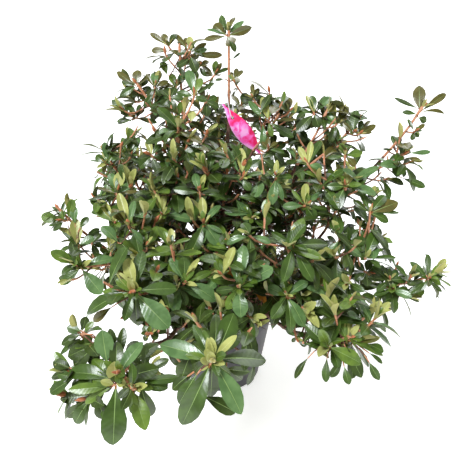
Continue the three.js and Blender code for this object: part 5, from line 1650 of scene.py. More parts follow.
@dataclass
class Crown:
    """The foliage: side shoots by the solids' rule, finer shoots on them, and whorls on all."""

    skeleton: Skeleton
    twig_radius: float = 0.0013
    knob_height: float = 0.0085
    shoot_lift: float = 0.3
    shoot_tip_lift: float = 0.55
    last_shoot: float = 0.97
    leans: tuple[float, float] = (72, 48)
    lean_spread: float = 8
    turn_spread: float = 0.3
    sizes: tuple[float, float] = (1, 0.72)
    size_spread: tuple[float, float] = (0.85, 1.1)
    tries: tuple[float, ...] = (1, 0.8, 0.6, 0.42)
    shoot_clearance: float = 0.002
    side_steps: int = 6
    root_depth: float = 0.006
    stem_points: int = 13
    bough_points: int = 24
    stem_whorl: tuple[int, int] = (8, 4)
    side_whorl: tuple[int, int] = (7, 4)
    finer_whorl: tuple[int, int] = (6, 3)
    inner_whorl: tuple[int, int] = (6, 1)
    finer_leaf: float = 0.86
    laterals: int = 3
    stem_laterals: int = 6
    lateral_from: float = 0.35
    stem_lateral_from: float = 0.25
    lateral_to: float = 0.9
    lateral_sizes: tuple[float, float] = (0.36, 0.62)
    lateral_leans: tuple[float, float] = (48, 68)
    whorl_spacing: float = 0.60
    stem_sides: int = 8
    twig_sides: int = 6
    tall_above: float = 0.5
    broader: float = 1.06
    broader_tall: float = 1.16
    longer: float = 1.03
    longer_tall: float = 1.14
    seen_masses: int = CROWN_PARTS["right"][1]
    seen_roots: tuple[float, float, int] = (0.1, 0.95, 18)
    seen_rise: float = 0.02
    seen_rise_cost: float = 0.6
    seen_lifts: tuple[float, float] = (0.2, 0.9)
    seen_leaf: float = 0.95
    hub_view: float = 9
    leaf_middle: float = 0.55
    leaf_nearer: float = 0.01
    hiding_gap: float = 0.002
    far_foot: float = 18
    stem_view: float = 9
    viewer_share: float = 1.6
    foot_share: float = 0.4
    hub_leaves: int = 6
    hub_leans: tuple[float, float] = (18, 62)
    hub_sizes: tuple[float, float] = (0.3, 0.52)
    stalk_gap: float = 0.004
    stalk_radii: tuple[float, float] = (0.0012, 0.0007)
    leaf_view: float = 5
    own_reach: float = 0.016
    flat_share: float = 1.15
    core_reach: float = 0.17
    core_heights: tuple[float, float] = (0.2, 0.42)
    stray_roots: tuple[float, float] = (0.45, 0.85)
    stray_leans: tuple[float, float] = (55, 85)
    stray_sizes: tuple[float, float] = (0.55, 0.9)
    bud_rings: tuple[float, ...] = (0, 0.25, 0.55, 0.85, 1.0)
    bud_outline: tuple[float, ...] = (0.4, 0.95, 1.0, 0.5, 0.1)
    bud_lengths: tuple[float, float] = (0.008, 0.014)
    bud_radii: tuple[float, float] = (0.0018, 0.0028)
    bud_foot: float = 0.003
    twig_end: float = 0.007
    end_share: float = 0.7
    end_swell: tuple[float, float] = (1.1, 1.35)
    stem_taper: tuple[float, float] = (1.25, 1.0)
    twig_taper: tuple[float, float] = (1.2, 0.95)
    brown_share: float = 0.25
    finer_brown_share: float = 0.45
    bare_twigs: int = 40
    bare_roots: tuple[float, float] = (0.28, 0.97)
    bare_leans: tuple[float, float] = (35, 80)
    bare_lift: float = 0.25
    bare_tip_lifts: tuple[float, float] = (0.1, 0.8)
    bare_widths: tuple[float, float] = (0.8, 1.15)
    bare_lengths: tuple[float, float] = (0.04, 0.1)
    bare_radii: tuple[float, float] = (0.0011, 0.0006)
    fork_radii: tuple[float, float] = (0.0007, 0.0004)
    forks: int = 3
    fork_roots: tuple[float, float] = (0.3, 0.9)
    fork_leans: tuple[float, float] = (30, 60)
    fork_sizes: tuple[float, float] = (0.2, 0.4)
    inner_shoots: int = 12
    inner_roots: tuple[float, float] = (0.45, 0.98)
    inner_leans: tuple[float, float] = (45, 75)
    inner_lengths: tuple[float, float] = (0.028, 0.055)
    inner_leaves: tuple[float, float] = (0.034, 0.041)
    inner_spacing: float = 0.019
    leaf_clearance: float = 0.001
    light: float = 0.55
    roll: float = 0.35
    probe_shares: tuple[float, ...] = (0.35, 0.65, 1.0)
    edge_probe: tuple[float, float] = (0.6, 0.17)
    shape_count: int = 6
    habit: WhorlHabit = WhorlHabit()

    def __post_init__(self) -> None:
        """Makes the leaf shapes and grows every shoot."""
        self.mature = [self.leaf_shape(i, young=False) for i in range(self.shape_count)]
        self.young = [self.leaf_shape(i, young=True) for i in range(self.shape_count)]
        self.shoots: list[list[Shoot]] = []
        self.centres: list[np.ndarray] = []
        self.shown: list[tuple[float, float, float, float]] = []
        for index in range(len(MASSES)):
            self.shoots.append(self.main_shoots(index))
        for index in range(len(MASSES)):
            self.shoots[index] += self.seen_shoots(index)
            self.shoots[index] += self.finer_shoots(index)
        self.shown_table = np.array(self.shown)
        self.shown_points = np.array([Viewer.point(*row[:3]) for row in self.shown])
        self.inner = [shoot for index in range(len(BOUGHS)) for shoot in self.bough_shoots(index)]

    @staticmethod
    def leaf_shape(number: int, young: bool) -> LeafShape:
        """Returns one of the leaf shapes.

        Args:
            number: which of them.
            young: whether it is a narrow, upright young leaf.

        Returns:
            The shape, its own by seeded draws.
        """
        draw = Draws(900 + number + (50 if young else 0))
        if young:
            return LeafShape(
                width=draw.between(0.29, 0.37), base_power=draw.between(0.8, 1.0),
                tip_power=draw.between(0.6, 0.8), arch=draw.between(-8, 26),
                fold=draw.between(0.45, 0.85), roll=draw.between(0.0, 0.1),
                twist=draw.between(-12, 12), ripple=0.005, phase=draw.between(0, 6))
        return LeafShape(
            width=draw.between(0.34, 0.42), base_power=draw.between(1.0, 1.3),
            tip_power=draw.between(0.66, 0.88), arch=draw.between(18, 58),
            fold=draw.between(0.24, 0.5), roll=draw.between(0.06, 0.2),
            twist=draw.between(-14, 14), ripple=draw.between(0.004, 0.016),
            ripples=draw.between(1.1, 2.2), phase=draw.between(0, 6))

    def main_shoots(self, index: int) -> list[Shoot]:
        """Grows a mass's stem and the side shoots that its solid has too.

        Args:
            index: the mass's place in MASSES.

        Returns:
            The shoots, the stem first.
        """
        mass, stem = MASSES[index], self.skeleton.stems[index]
        draw = Draws(101 + index)
        phase = draw.between(0, 2 * math.pi)
        stem_end = end_direction(stem)
        seed = 1000 + 100 * index
        rosette = ROSETTES.get(mass.name)
        shoots = [Shoot(self.rooted(stem, index), stem_end, self.skeleton.stem_radius, mass.leaf,
                        *self.stem_whorl, seed, 0, rosette)]
        self.centres.append(stem[-1])
        if rosette:
            self.show(rosette, Viewer.pixels(stem[-1])[2])
        for i in range(0 if rosette and rosette.alone else mass.shoots - 1):
            share = i / (mass.shoots - 1)
            root = point_along(stem, mix(mass.start, self.last_shoot, share))
            lean = math.radians(mix(*self.leans, share)
                                + draw.between(-self.lean_spread, self.lean_spread))
            turn = (phase + GOLDEN_ANGLE * i
                    + draw.between(-self.turn_spread, self.turn_spread))
            outward = unit(leaning(stem_end, lean, turn) + UP * self.shoot_lift)
            length = mass.spread * mix(*self.sizes, share) * draw.between(*self.size_spread)
            shoot = self.side_shoot(index, root, outward, length, seed + 10 * (i + 1), 1)
            if shoot:
                shoots.append(shoot)
                self.centres.append(shoot.line[-1])
        return shoots

    def show(self, whorl: Rosette | SeenShoot, depth: float) -> None:
        """Notes where a whorl lies that the picture shows, so that nothing stands before it.

        Args:
            whorl: the whorl.
            depth: how far ahead of the viewer its hub lies.
        """
        self.shown.append((whorl.x, whorl.y, depth, self.hub_view))
        for leaf in seen_leaves(whorl):
            middle = [mix(foot, tip, self.leaf_middle)
                      for foot, tip in ((leaf.foot_x, leaf.x), (leaf.foot_y, leaf.y))]
            self.shown.append((*middle, depth - self.leaf_nearer, self.leaf_view))

    def rooted(self, stem: np.ndarray, index: int) -> np.ndarray:
        """Returns a stem's line in finer steps, with its foot sunk into the tip of its bough.

        Args:
            stem: the points of the stem.
            index: its mass's place in MASSES.

        Returns:
            The finer line.
        """
        bough = self.skeleton.boughs[MASSES[index].bough]
        foot = bough[-1] - end_direction(bough) * self.root_depth
        shares = np.linspace(0, 1, self.stem_points)
        return np.concatenate((foot[None], [point_along(stem, share) for share in shares]))

    def side_shoot(self, index: int, root: np.ndarray, outward: np.ndarray, length: float,
                   seed: int, rank: int, spaced: bool = False) -> Shoot | None:
        """Grows one side shoot, shortened until it finds room.

        Args:
            index: the mass that it belongs to.
            root: where it leaves its parent.
            outward: the unit direction in which it leaves.
            length: how long it would like to be.
            seed: the seed of its whorl.
            rank: 1 for a side shoot of the stem, 2 for a finer one.
            spaced: whether its whorl also has to keep its distance from the others.

        Returns:
            The shoot, or None where it finds no room.
        """
        mass = MASSES[index]
        arrival = unit(outward + UP * self.shoot_tip_lift)
        clearance = self.twig_radius + self.shoot_clearance
        for size in self.tries:
            reach = length * size
            end = root + outward * reach + UP * (self.shoot_lift / 2 * reach)
            probes = np.array((end, end + arrival * self.knob_height))
            if not self.skeleton.is_free(probes, index, clearance).all():
                continue
            if Viewer.in_opening(probes).any():
                continue
            if spaced and self.crowded(end, mass.leaf * self.whorl_spacing):
                continue
            if spaced and self.skeleton.hides_label(probes).any():
                continue
            line = bend(root, outward, end, arrival, self.side_steps)
            leaf = mass.leaf * (1 if rank == 1 else self.finer_leaf)
            counts = self.side_whorl if rank == 1 else self.finer_whorl
            return Shoot(line, arrival, self.twig_radius, leaf, *counts, seed, rank)
        return None

    def crowded(self, point: np.ndarray, spacing: float) -> bool:
        """Says whether another whorl's centre is nearer to a point than the spacing."""
        return bool((np.linalg.norm(np.array(self.centres) - point, axis=1) < spacing).any())

    def finer_shoots(self, index: int) -> list[Shoot]:
        """Carries a mass's shoots on to finer ones, which fork off them and fill the crown.

        Args:
            index: the mass's place in MASSES.

        Returns:
            The finer shoots.
        """
        mass = MASSES[index]
        grown = []
        for number, parent in enumerate(self.shoots[index]):
            draw = Draws(5000 + 100 * index + number)
            phase = draw.between(0, 2 * math.pi)
            wanted = self.stem_laterals if number == 0 else self.laterals
            rosette = ROSETTES.get(mass.name)
            if mass.height > self.tall_above or (rosette and rosette.alone):
                wanted = 0
            for i in range(wanted):
                low = self.stem_lateral_from if number == 0 else self.lateral_from
                root = point_along(parent.line, draw.between(low, self.lateral_to))
                lean = math.radians(draw.between(*self.lateral_leans))
                outward = leaning(parent.axis, lean, phase + GOLDEN_ANGLE * i)
                outward = unit(outward + UP * self.shoot_lift)
                length = mass.spread * draw.between(*self.lateral_sizes)
                seed = 20000 + 1000 * index + 20 * number + i
                shoot = self.side_shoot(index, root, outward, length, seed, 2, spaced=True)
                if shoot:
                    grown.append(shoot)
                    self.centres.append(shoot.line[-1])
        return grown

    def seen_shoots(self, index: int) -> list[Shoot]:
        """Grows the shoots to the whorls of the picture that lie nearest to a mass's crest.

        Args:
            index: the mass's place in MASSES.

        Returns:
            The shoots, each from the nearest lower point of the mass's stem.
        """
        mass, stem = MASSES[index], self.skeleton.stems[index]
        if index >= self.seen_masses:
            return []
        ends = [line[-1] for line in self.skeleton.stems[:self.seen_masses]]
        crests = Viewer.pixels(np.array(ends))
        crest_depth = crests[index][2]
        grown = []
        for number, seen in enumerate(SEEN_SHOOTS):
            apart = np.linalg.norm(crests[:, :2] - (seen.x, seen.y), axis=1)
            if int(np.argmin(apart)) != index:
                continue
            end = Viewer.point(seen.x, seen.y, crest_depth - seen.nearer)
            roots = np.array([point_along(stem, share) for share in np.linspace(*self.seen_roots)])
            below = end - roots
            flatness = np.maximum(0, self.seen_rise - below[:, 2])
            cost = np.linalg.norm(below, axis=1) + self.seen_rise_cost * flatness
            root = roots[int(np.argmin(cost))]
            outward, arrival = (unit(unit(end - root) + UP * lift) for lift in self.seen_lifts)
            line = bend(root, outward, end, arrival, self.side_steps)
            leaf = mass.leaf * seen.leaf * self.seen_leaf
            grown.append(Shoot(line, arrival, self.twig_radius, leaf, *self.side_whorl,
                               40000 + 10 * number, 1, seen if seen.leaves else None))
            self.centres.append(end)
            self.show(seen, crest_depth - seen.nearer)
        return grown

    def bough_shoots(self, index: int) -> list[Shoot]:
        """Grows the shaded leafy shoots that fork off a bough inside the crown.

        Args:
            index: the bough's place in BOUGHS.

        Returns:
            The shoots that keep clear of every limb.
        """
        line = self.skeleton.bough_line(index, self.bough_points)
        draw = Draws(3000 + index)
        phase = draw.between(0, 2 * math.pi)
        grown = []
        for i in range(self.inner_shoots):
            share = mix(*self.inner_roots, (i + draw.between(0, 0.8)) / self.inner_shoots)
            root = point_along(line, share)
            axis = unit(point_along(line, min(share + 0.06, 1)) - point_along(line, share - 0.06))
            lean = math.radians(draw.between(*self.inner_leans))
            outward = leaning(axis, lean, phase + GOLDEN_ANGLE * i)
            outward = unit(outward + UP * self.shoot_lift)
            end = root + outward * draw.between(*self.inner_lengths)
            arrival = unit(outward + UP * self.shoot_tip_lift)
            probes = np.array((end, end + arrival * self.knob_height))
            clearance = self.twig_radius + self.shoot_clearance
            free = self.skeleton.clear_of_limbs(probes, -2, clearance).all()
            if free and not self.crowded(end, self.inner_spacing):
                twig = bend(root, outward, end, arrival, self.side_steps)
                leaf = draw.between(*self.inner_leaves)
                grown.append(Shoot(twig, arrival, self.twig_radius, leaf, *self.inner_whorl,
                                   60000 + 50 * index + i, 2))
                self.centres.append(end)
        return grown

    def add_whorl(self, heap: LeafHeap, index: int, shoot: Shoot) -> None:
        """Adds a shoot's leaves to a heap.

        Old leaves spread low on the shoot's end and arch over, young ones stand up round its bud.

        Args:
            heap: what the leaves are added to.
            index: the mass that the shoot belongs to.
            shoot: the shoot.
        """
        draw = Draws(shoot.seed)
        phase = draw.between(0, 2 * math.pi)
        tip, axis = shoot.line[-1], shoot.axis
        habit = self.habit
        tall = habit.grade(tip[2], *habit.tall_range)
        sunny = habit.grade(-tip[0], *habit.sunny_range) * (tip[2] > habit.sunny_above)
        deep, green, fresh, pale = habit.shares
        shift = habit.sunny_shift * sunny
        shares = (deep - shift, green, fresh + shift, pale) if index >= 0 else habit.inner_shares
        olive = habit.olive_share * habit.grade(tip[2], *habit.olive_range)
        for i in range(shoot.outer + shoot.inner):
            young = i >= shoot.outer
            turn = phase + GOLDEN_ANGLE * i + draw.between(-habit.turn_spread, habit.turn_spread)
            if young:
                age = 1 - (i - shoot.outer + 0.5) / shoot.inner
                spread = habit.young_lean_spread
                lean = mix(*habit.young_leans, age) + draw.between(-spread, spread)
                size = mix(*habit.young_sizes, age) * draw.between(*habit.young_size_spread)
                size *= 1 + habit.sunny_size * sunny
                height = mix(*habit.young_heights, age)
                tone = Tone.YOUNG if draw.between(0, 1) < habit.young_share else Tone.FRESH
                droop = 0.0
            else:
                age = 1 - i / shoot.outer
                newest, oldest = habit.old_leans
                spread = habit.old_lean_spread
                lean = mix(newest, oldest - habit.tall_upright * tall, age ** 0.8)
                lean += draw.between(-spread, spread)
                size = mix(*habit.old_sizes, age ** 0.5) * draw.between(*habit.old_size_spread)
                size *= 1 + habit.tall_size * tall
                spread = habit.old_height_spread
                height = mix(*habit.old_heights, age) + draw.between(-spread, spread)
                tone = (DEEP, GREEN, FRESH, PALE)[draw.pick(shares)]
                if draw.between(0, 1) < olive:
                    tone = Tone.OLIVE
                if draw.between(0, 1) < habit.yellow_share:
                    tone = Tone.YELLOW
                droop = draw.between(0.0, habit.droop) * age
            direction = unit(leaning(axis, math.radians(lean), turn) - UP * droop)
            self.add_leaf(heap, index, tip + axis * height, direction, axis, shoot.leaf * size,
                          tone, draw)

    def add_seen_whorl(self, heap: LeafHeap, twigs: MeshParts, index: int, shoot: Shoot) -> None:
        """Adds a whorl leaf by leaf as the viewer sees it.

        Args:
            heap: what the leaves are added to.
            twigs: what the short shoots to their feet are added to.
            index: the mass that the shoot belongs to.
            shoot: the shoot that ends in it.
        """
        draw = Draws(shoot.seed)
        hub = (shoot.seen.x, shoot.seen.y)
        line_pixels = Viewer.pixels(shoot.line)
        facing = unit(Viewer.eye - shoot.line[-1]) * self.viewer_share
        tall = shoot.line[-1][2] > self.tall_above
        broader = self.broader_tall if tall else self.broader
        longer = self.longer_tall if tall else self.longer
        for leaf in seen_leaves(shoot.seen):
            foot_pixel = (leaf.foot_x, leaf.foot_y)
            if math.dist(foot_pixel, hub) < self.far_foot:
                foot_pixel = tuple(mix(hub[i], foot_pixel[i], self.foot_share) for i in (0, 1))
            off_hub = math.dist(foot_pixel, hub)
            asides = np.linalg.norm(line_pixels[:, :2] - foot_pixel, axis=1)
            on_stem = off_hub > self.far_foot and asides.min() < self.stem_view
            depth = line_pixels[int(np.argmin(asides)) if on_stem else -1, 2]
            backward = 0
            if not on_stem:
                backward = min(0.0, leaf.toward) / MILLIMETRES_IN_METRE
                backward *= min(1.0, off_hub / self.far_foot)
            foot = Viewer.point(*foot_pixel, depth - backward)
            tip_pixel = [mix(foot_pixel[i], (leaf.x, leaf.y)[i], longer) for i in (0, 1)]
            tip = Viewer.point(*tip_pixel, depth - leaf.toward / MILLIMETRES_IN_METRE)
            length = float(np.linalg.norm(tip - foot))
            self.add_leaf(heap, index, foot, (tip - foot) / length, facing, length, leaf.tone, draw,
                          leaf.width * broader / MILLIMETRES_IN_METRE)
            near = shoot.line[int(np.argmin(np.linalg.norm(shoot.line - foot, axis=1)))]
            if np.linalg.norm(foot - near) > self.stalk_gap:
                stalk = bend(near, unit(foot - near), foot, (tip - foot) / length, 4)
                tube(twigs, stalk, np.linspace(*self.stalk_radii, 5), self.twig_sides,
                     np.array((0, 0, 0, 1)))
        phase = draw.between(0, 2 * math.pi)
        for i in range(self.hub_leaves):
            lean = math.radians(draw.between(*self.hub_leans))
            direction = leaning(shoot.axis, lean, phase + GOLDEN_ANGLE * i)
            tone = (OLIVE if tall else GREEN, FRESH, YOUNG)[draw.pick((0.4, 0.3, 0.3))]
            length = shoot.leaf * draw.between(*self.hub_sizes)
            self.add_leaf(heap, index, shoot.line[-1], direction, shoot.axis, length, tone, draw)

    def add_leaf(self, heap: LeafHeap, index: int, origin: np.ndarray, direction: np.ndarray,
                 axis: np.ndarray, length: float, tone: Tone, draw: Draws, width: float = 0) -> None:
        """Adds one leaf where it keeps clear of the label, the limbs and what the picture shows.

        Args:
            heap: what the leaf is added to.
            index: the mass that it belongs to.
            origin: where its stalk begins.
            direction: the unit direction of its blade.
            axis: the direction of its shoot, which its upper side faces.
            length: its length.
            tone: the finish of its upper side.
            draw: the source of its shape and roll.
            width: its width where the picture gives one, and it then stands where it is.
        """
        facing = axis + UP * self.light
        facing = facing - direction * (facing @ direction)
        if np.linalg.norm(facing) < 1e-3:
            facing = square_to(direction)[0]
        facing = unit(facing)
        roll = draw.between(-self.roll, self.roll)
        side = np.cross(direction, facing)
        normal = facing * math.cos(roll) + side * math.sin(roll)
        across = np.cross(direction, normal)
        number = int(draw.between(0, self.shape_count))
        shares = np.array(self.probe_shares)[:, None]
        probes = origin + direction * length * shares
        ahead, aside = self.edge_probe
        edges = origin + direction * length * ahead + across * length * aside * np.array(((-1,), (1,)))
        probes = np.concatenate((probes, edges))
        pick = number + (self.shape_count if tone is Tone.YOUNG else 0)
        turn = np.array((across, direction, normal)) * length
        if width:
            turn[0] = across * width * self.flat_share / (self.mature + self.young)[pick].width
        elif (not self.skeleton.clear_of_limbs(probes, index, self.leaf_clearance).all()
              or self.skeleton.hides_label(probes).any() or Viewer.in_opening(probes).any()
              or (0 <= index < self.seen_masses and Viewer.in_opening(probes, DARK_GAPS).any())
              or self.covers(origin, probes)):
            return
        heap.add(pick, origin, turn, tone)

    def covers(self, origin: np.ndarray, probes: np.ndarray) -> bool:
        """Says whether a leaf of another shoot would stand before one that the picture shows.

        Args:
            origin: where the leaf begins.
            probes: points on its blade.

        Returns:
            True where it would hide one.
        """
        seen = Viewer.pixels(probes)[:, None, :]
        gaps = np.linalg.norm(seen[:, :, :2] - self.shown_table[:, :2], axis=2)
        before = seen[:, :, 2] < self.shown_table[:, 2] - self.hiding_gap
        others = np.linalg.norm(self.shown_points - origin, axis=1) > self.own_reach
        return bool(((gaps < self.shown_table[:, 3]) & before & others).any())

    def add_strays(self, heap: LeafHeap, index: int, shoot: Shoot) -> None:
        """Adds the few leaves that stay along a shoot below its whorl.

        Args:
            heap: what the leaves are added to.
            index: the mass that the shoot belongs to.
            shoot: the shoot.
        """
        draw = Draws(shoot.seed + 7)
        count = 3 if shoot.rank < 2 else 1
        phase = draw.between(0, 2 * math.pi)
        for i in range(count):
            origin = point_along(shoot.line, draw.between(*self.stray_roots))
            lean = math.radians(draw.between(*self.stray_leans))
            direction = leaning(shoot.axis, lean, phase + GOLDEN_ANGLE * i)
            tone = (DEEP, GREEN)[draw.pick((0.6, 0.4))]
            length = shoot.leaf * draw.between(*self.stray_sizes)
            self.add_leaf(heap, index, origin, direction, shoot.axis, length, tone, draw)

    def add_twig(self, parts: MeshParts, shoot: Shoot) -> None:
        """Adds a shoot's twig, which turns from brown bark to a reddish young end.

        Args:
            parts: what the twig is added to.
            shoot: the shoot.
        """
        count = len(shoot.line)
        share = np.linspace(0, 1, count)
        taper = self.stem_taper if shoot.rank == 0 else self.twig_taper
        radii = shoot.radius * mix(*taper, share)
        radii[-2:] *= self.end_swell
        tip = shoot.line[-1] + shoot.axis * self.twig_end
        line = np.concatenate((shoot.line, [tip]))
        radii = np.concatenate((radii, [shoot.radius * self.end_share]))
        brown = self.brown_share if shoot.rank < 2 else self.finer_brown_share
        slots = np.where(np.arange(count) >= count * brown, 1, 0)
        sides = self.stem_sides if shoot.rank == 0 else self.twig_sides
        tube(parts, line, radii, sides, slots)

    def add_buds(self, parts: MeshParts, shoot: Shoot) -> None:
        """Adds the bud at a shoot's end: a few scales that close to a point.

        Args:
            parts: what the scales are added to.
            shoot: the shoot.
        """
        draw = Draws(shoot.seed + 3)
        for i in range(1 + draw.pick((0.5, 0.5))):
            axis = leaning(shoot.axis, math.radians(draw.between(4, 26)), draw.between(0, 6.28))
            foot = shoot.line[-1] + shoot.axis * self.bud_foot
            length = draw.between(*self.bud_lengths)
            line = foot + axis * (np.array(self.bud_rings) * length)[:, None]
            radii = np.array(self.bud_outline) * draw.between(*self.bud_radii)
            slots = np.full(4, draw.pick((0.6, 0.4)))
            tube(parts, line, radii, self.twig_sides, slots)

    def add_bare_twigs(self, parts: MeshParts, index: int) -> None:
        """Adds the thin leafless twigs that fork off a bough inside the crown.

        Args:
            parts: what the twigs are added to.
            index: the bough's place in BOUGHS.
        """
        line = self.skeleton.bough_line(index, self.bough_points)
        draw = Draws(7000 + index)
        for i in range(self.bare_twigs):
            share = draw.between(*self.bare_roots)
            root = point_along(line, share)
            axis = unit(point_along(line, min(share + 0.05, 1)) - root + 1e-9)
            lean = math.radians(draw.between(*self.bare_leans))
            outward = unit(leaning(axis, lean, draw.between(0, 6.28)) + UP * self.bare_lift)
            length = draw.between(*self.bare_lengths)
            arrival = unit(outward + UP * draw.between(*self.bare_tip_lifts))
            end = root + outward * length
            twig = bend(root, outward, end, arrival, 5)
            outside = math.hypot(end[0], end[1]) > self.core_reach
            if outside or not self.core_heights[0] < end[2] < self.core_heights[1]:
                continue
            if self.skeleton.hides_label(twig).any() or Viewer.in_opening(twig).any():
                continue
            radii = np.linspace(*self.bare_radii, 6) * draw.between(*self.bare_widths)
            tube(parts, twig, radii, 5, np.zeros(5, int))
            for _ in range(self.forks):
                fork = point_along(twig, draw.between(*self.fork_roots))
                lean = math.radians(draw.between(*self.fork_leans))
                side = leaning(outward, lean, draw.between(0, 6.28))
                tip = fork + side * length * draw.between(*self.fork_sizes)
                branch = bend(fork, side, tip, unit(side + UP * 0.5), 3)
                tube(parts, branch, np.linspace(*self.fork_radii, 4), 4, np.zeros(3, int))

    def build(self) -> list[bpy.types.Object]:
        """Makes the leaves, twigs and buds of each part of the crown.

        Returns:
            The finished pieces.
        """
        leaf_materials = [finish.material() for finish in LEAF_FINISHES]
        twig_materials = [finish.material() for finish in TWIG_FINISHES]
        bud_materials = [finish.material() for finish in BUD_FINISHES]
        pieces = []
        groups = [(name, range(*ends), [(i, s) for i in range(*ends) for s in self.shoots[i]])
                  for name, ends in CROWN_PARTS.items()]
        groups.append(("inner", (), [(-2, shoot) for shoot in self.inner]))
        for name, masses, shoots in groups:
            leaves, twigs, buds = MeshParts(), MeshParts(), MeshParts()
            heap = LeafHeap(self.mature + self.young)
            for index, shoot in shoots:
                before = len(heap.picks)
                if shoot.seen:
                    self.add_seen_whorl(heap, twigs, index, shoot)
                else:
                    self.add_whorl(heap, index, shoot)
                    self.add_strays(heap, index, shoot)
                grown = len(heap.picks) - before
                if shoot.rank == 0 or grown > 1:
                    self.add_twig(twigs, shoot)
                if grown > 4:
                    self.add_buds(buds, shoot)
            heap.join(leaves)
            made = (leaves.piece(f"leaves_{name}", leaf_materials),
                    twigs.piece(f"twigs_{name}", twig_materials),
                    buds.piece(f"buds_{name}", bud_materials))
            for piece in made:
                if masses:
                    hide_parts(*[MASSES[index].name for index in masses])
                pieces.append(finished(piece))
            LOG.info("%s: %d leaves, %d shoots", name, len(heap.picks), len(shoots))
        bare = MeshParts()
        for index in range(len(BOUGHS)):
            self.add_bare_twigs(bare, index)
        piece = bare.piece("bare_twigs", [TWIG_FINISHES[0].material()])
        pieces.append(finished(piece))
        return pieces


def finished(piece: bpy.types.Object) -> bpy.types.Object:
    """Rides a piece on the plant's one body.

    Args:
        piece: the piece.

    Returns:
        The same piece.
    """
    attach(piece, BODY)
    LOG.info("piece %s: %d faces", piece.name, len(piece.data.polygons))
    return piece


def deselect() -> None:
    """Deselects every object, in object mode."""
    if bpy.context.object and bpy.context.object.mode != "OBJECT":
        bpy.ops.object.mode_set(mode="OBJECT")
    bpy.ops.object.select_all(action="DESELECT")


def started(name: str, primitive: Any, **sizes: Any) -> bpy.types.Object:
    """Adds a primitive with nothing else selected, as the start of a piece.

    Args:
        name: the piece's name, which its mesh gets too.
        primitive: the operator that adds it.
        sizes: the operator's settings, with its place where that isn't the origin.

    Returns:
        The new object.
    """
    deselect()
    primitive(**{"location": (0, 0, 0), **sizes})
    piece = bpy.context.object
    piece.name = piece.data.name = name
    return piece


def choose(piece: bpy.types.Object) -> None:
    """Selects one piece alone and makes it the active one.

    Args:
        piece: the piece.
    """
    deselect()
    piece.select_set(True)
    bpy.context.view_layer.objects.active = piece


def apply_modifiers(piece: bpy.types.Object) -> None:
    """Applies every modifier of a piece in turn.

    Args:
        piece: the piece.
    """
    choose(piece)
    for modifier in list(piece.modifiers):
        bpy.ops.object.modifier_apply(modifier=modifier.name)


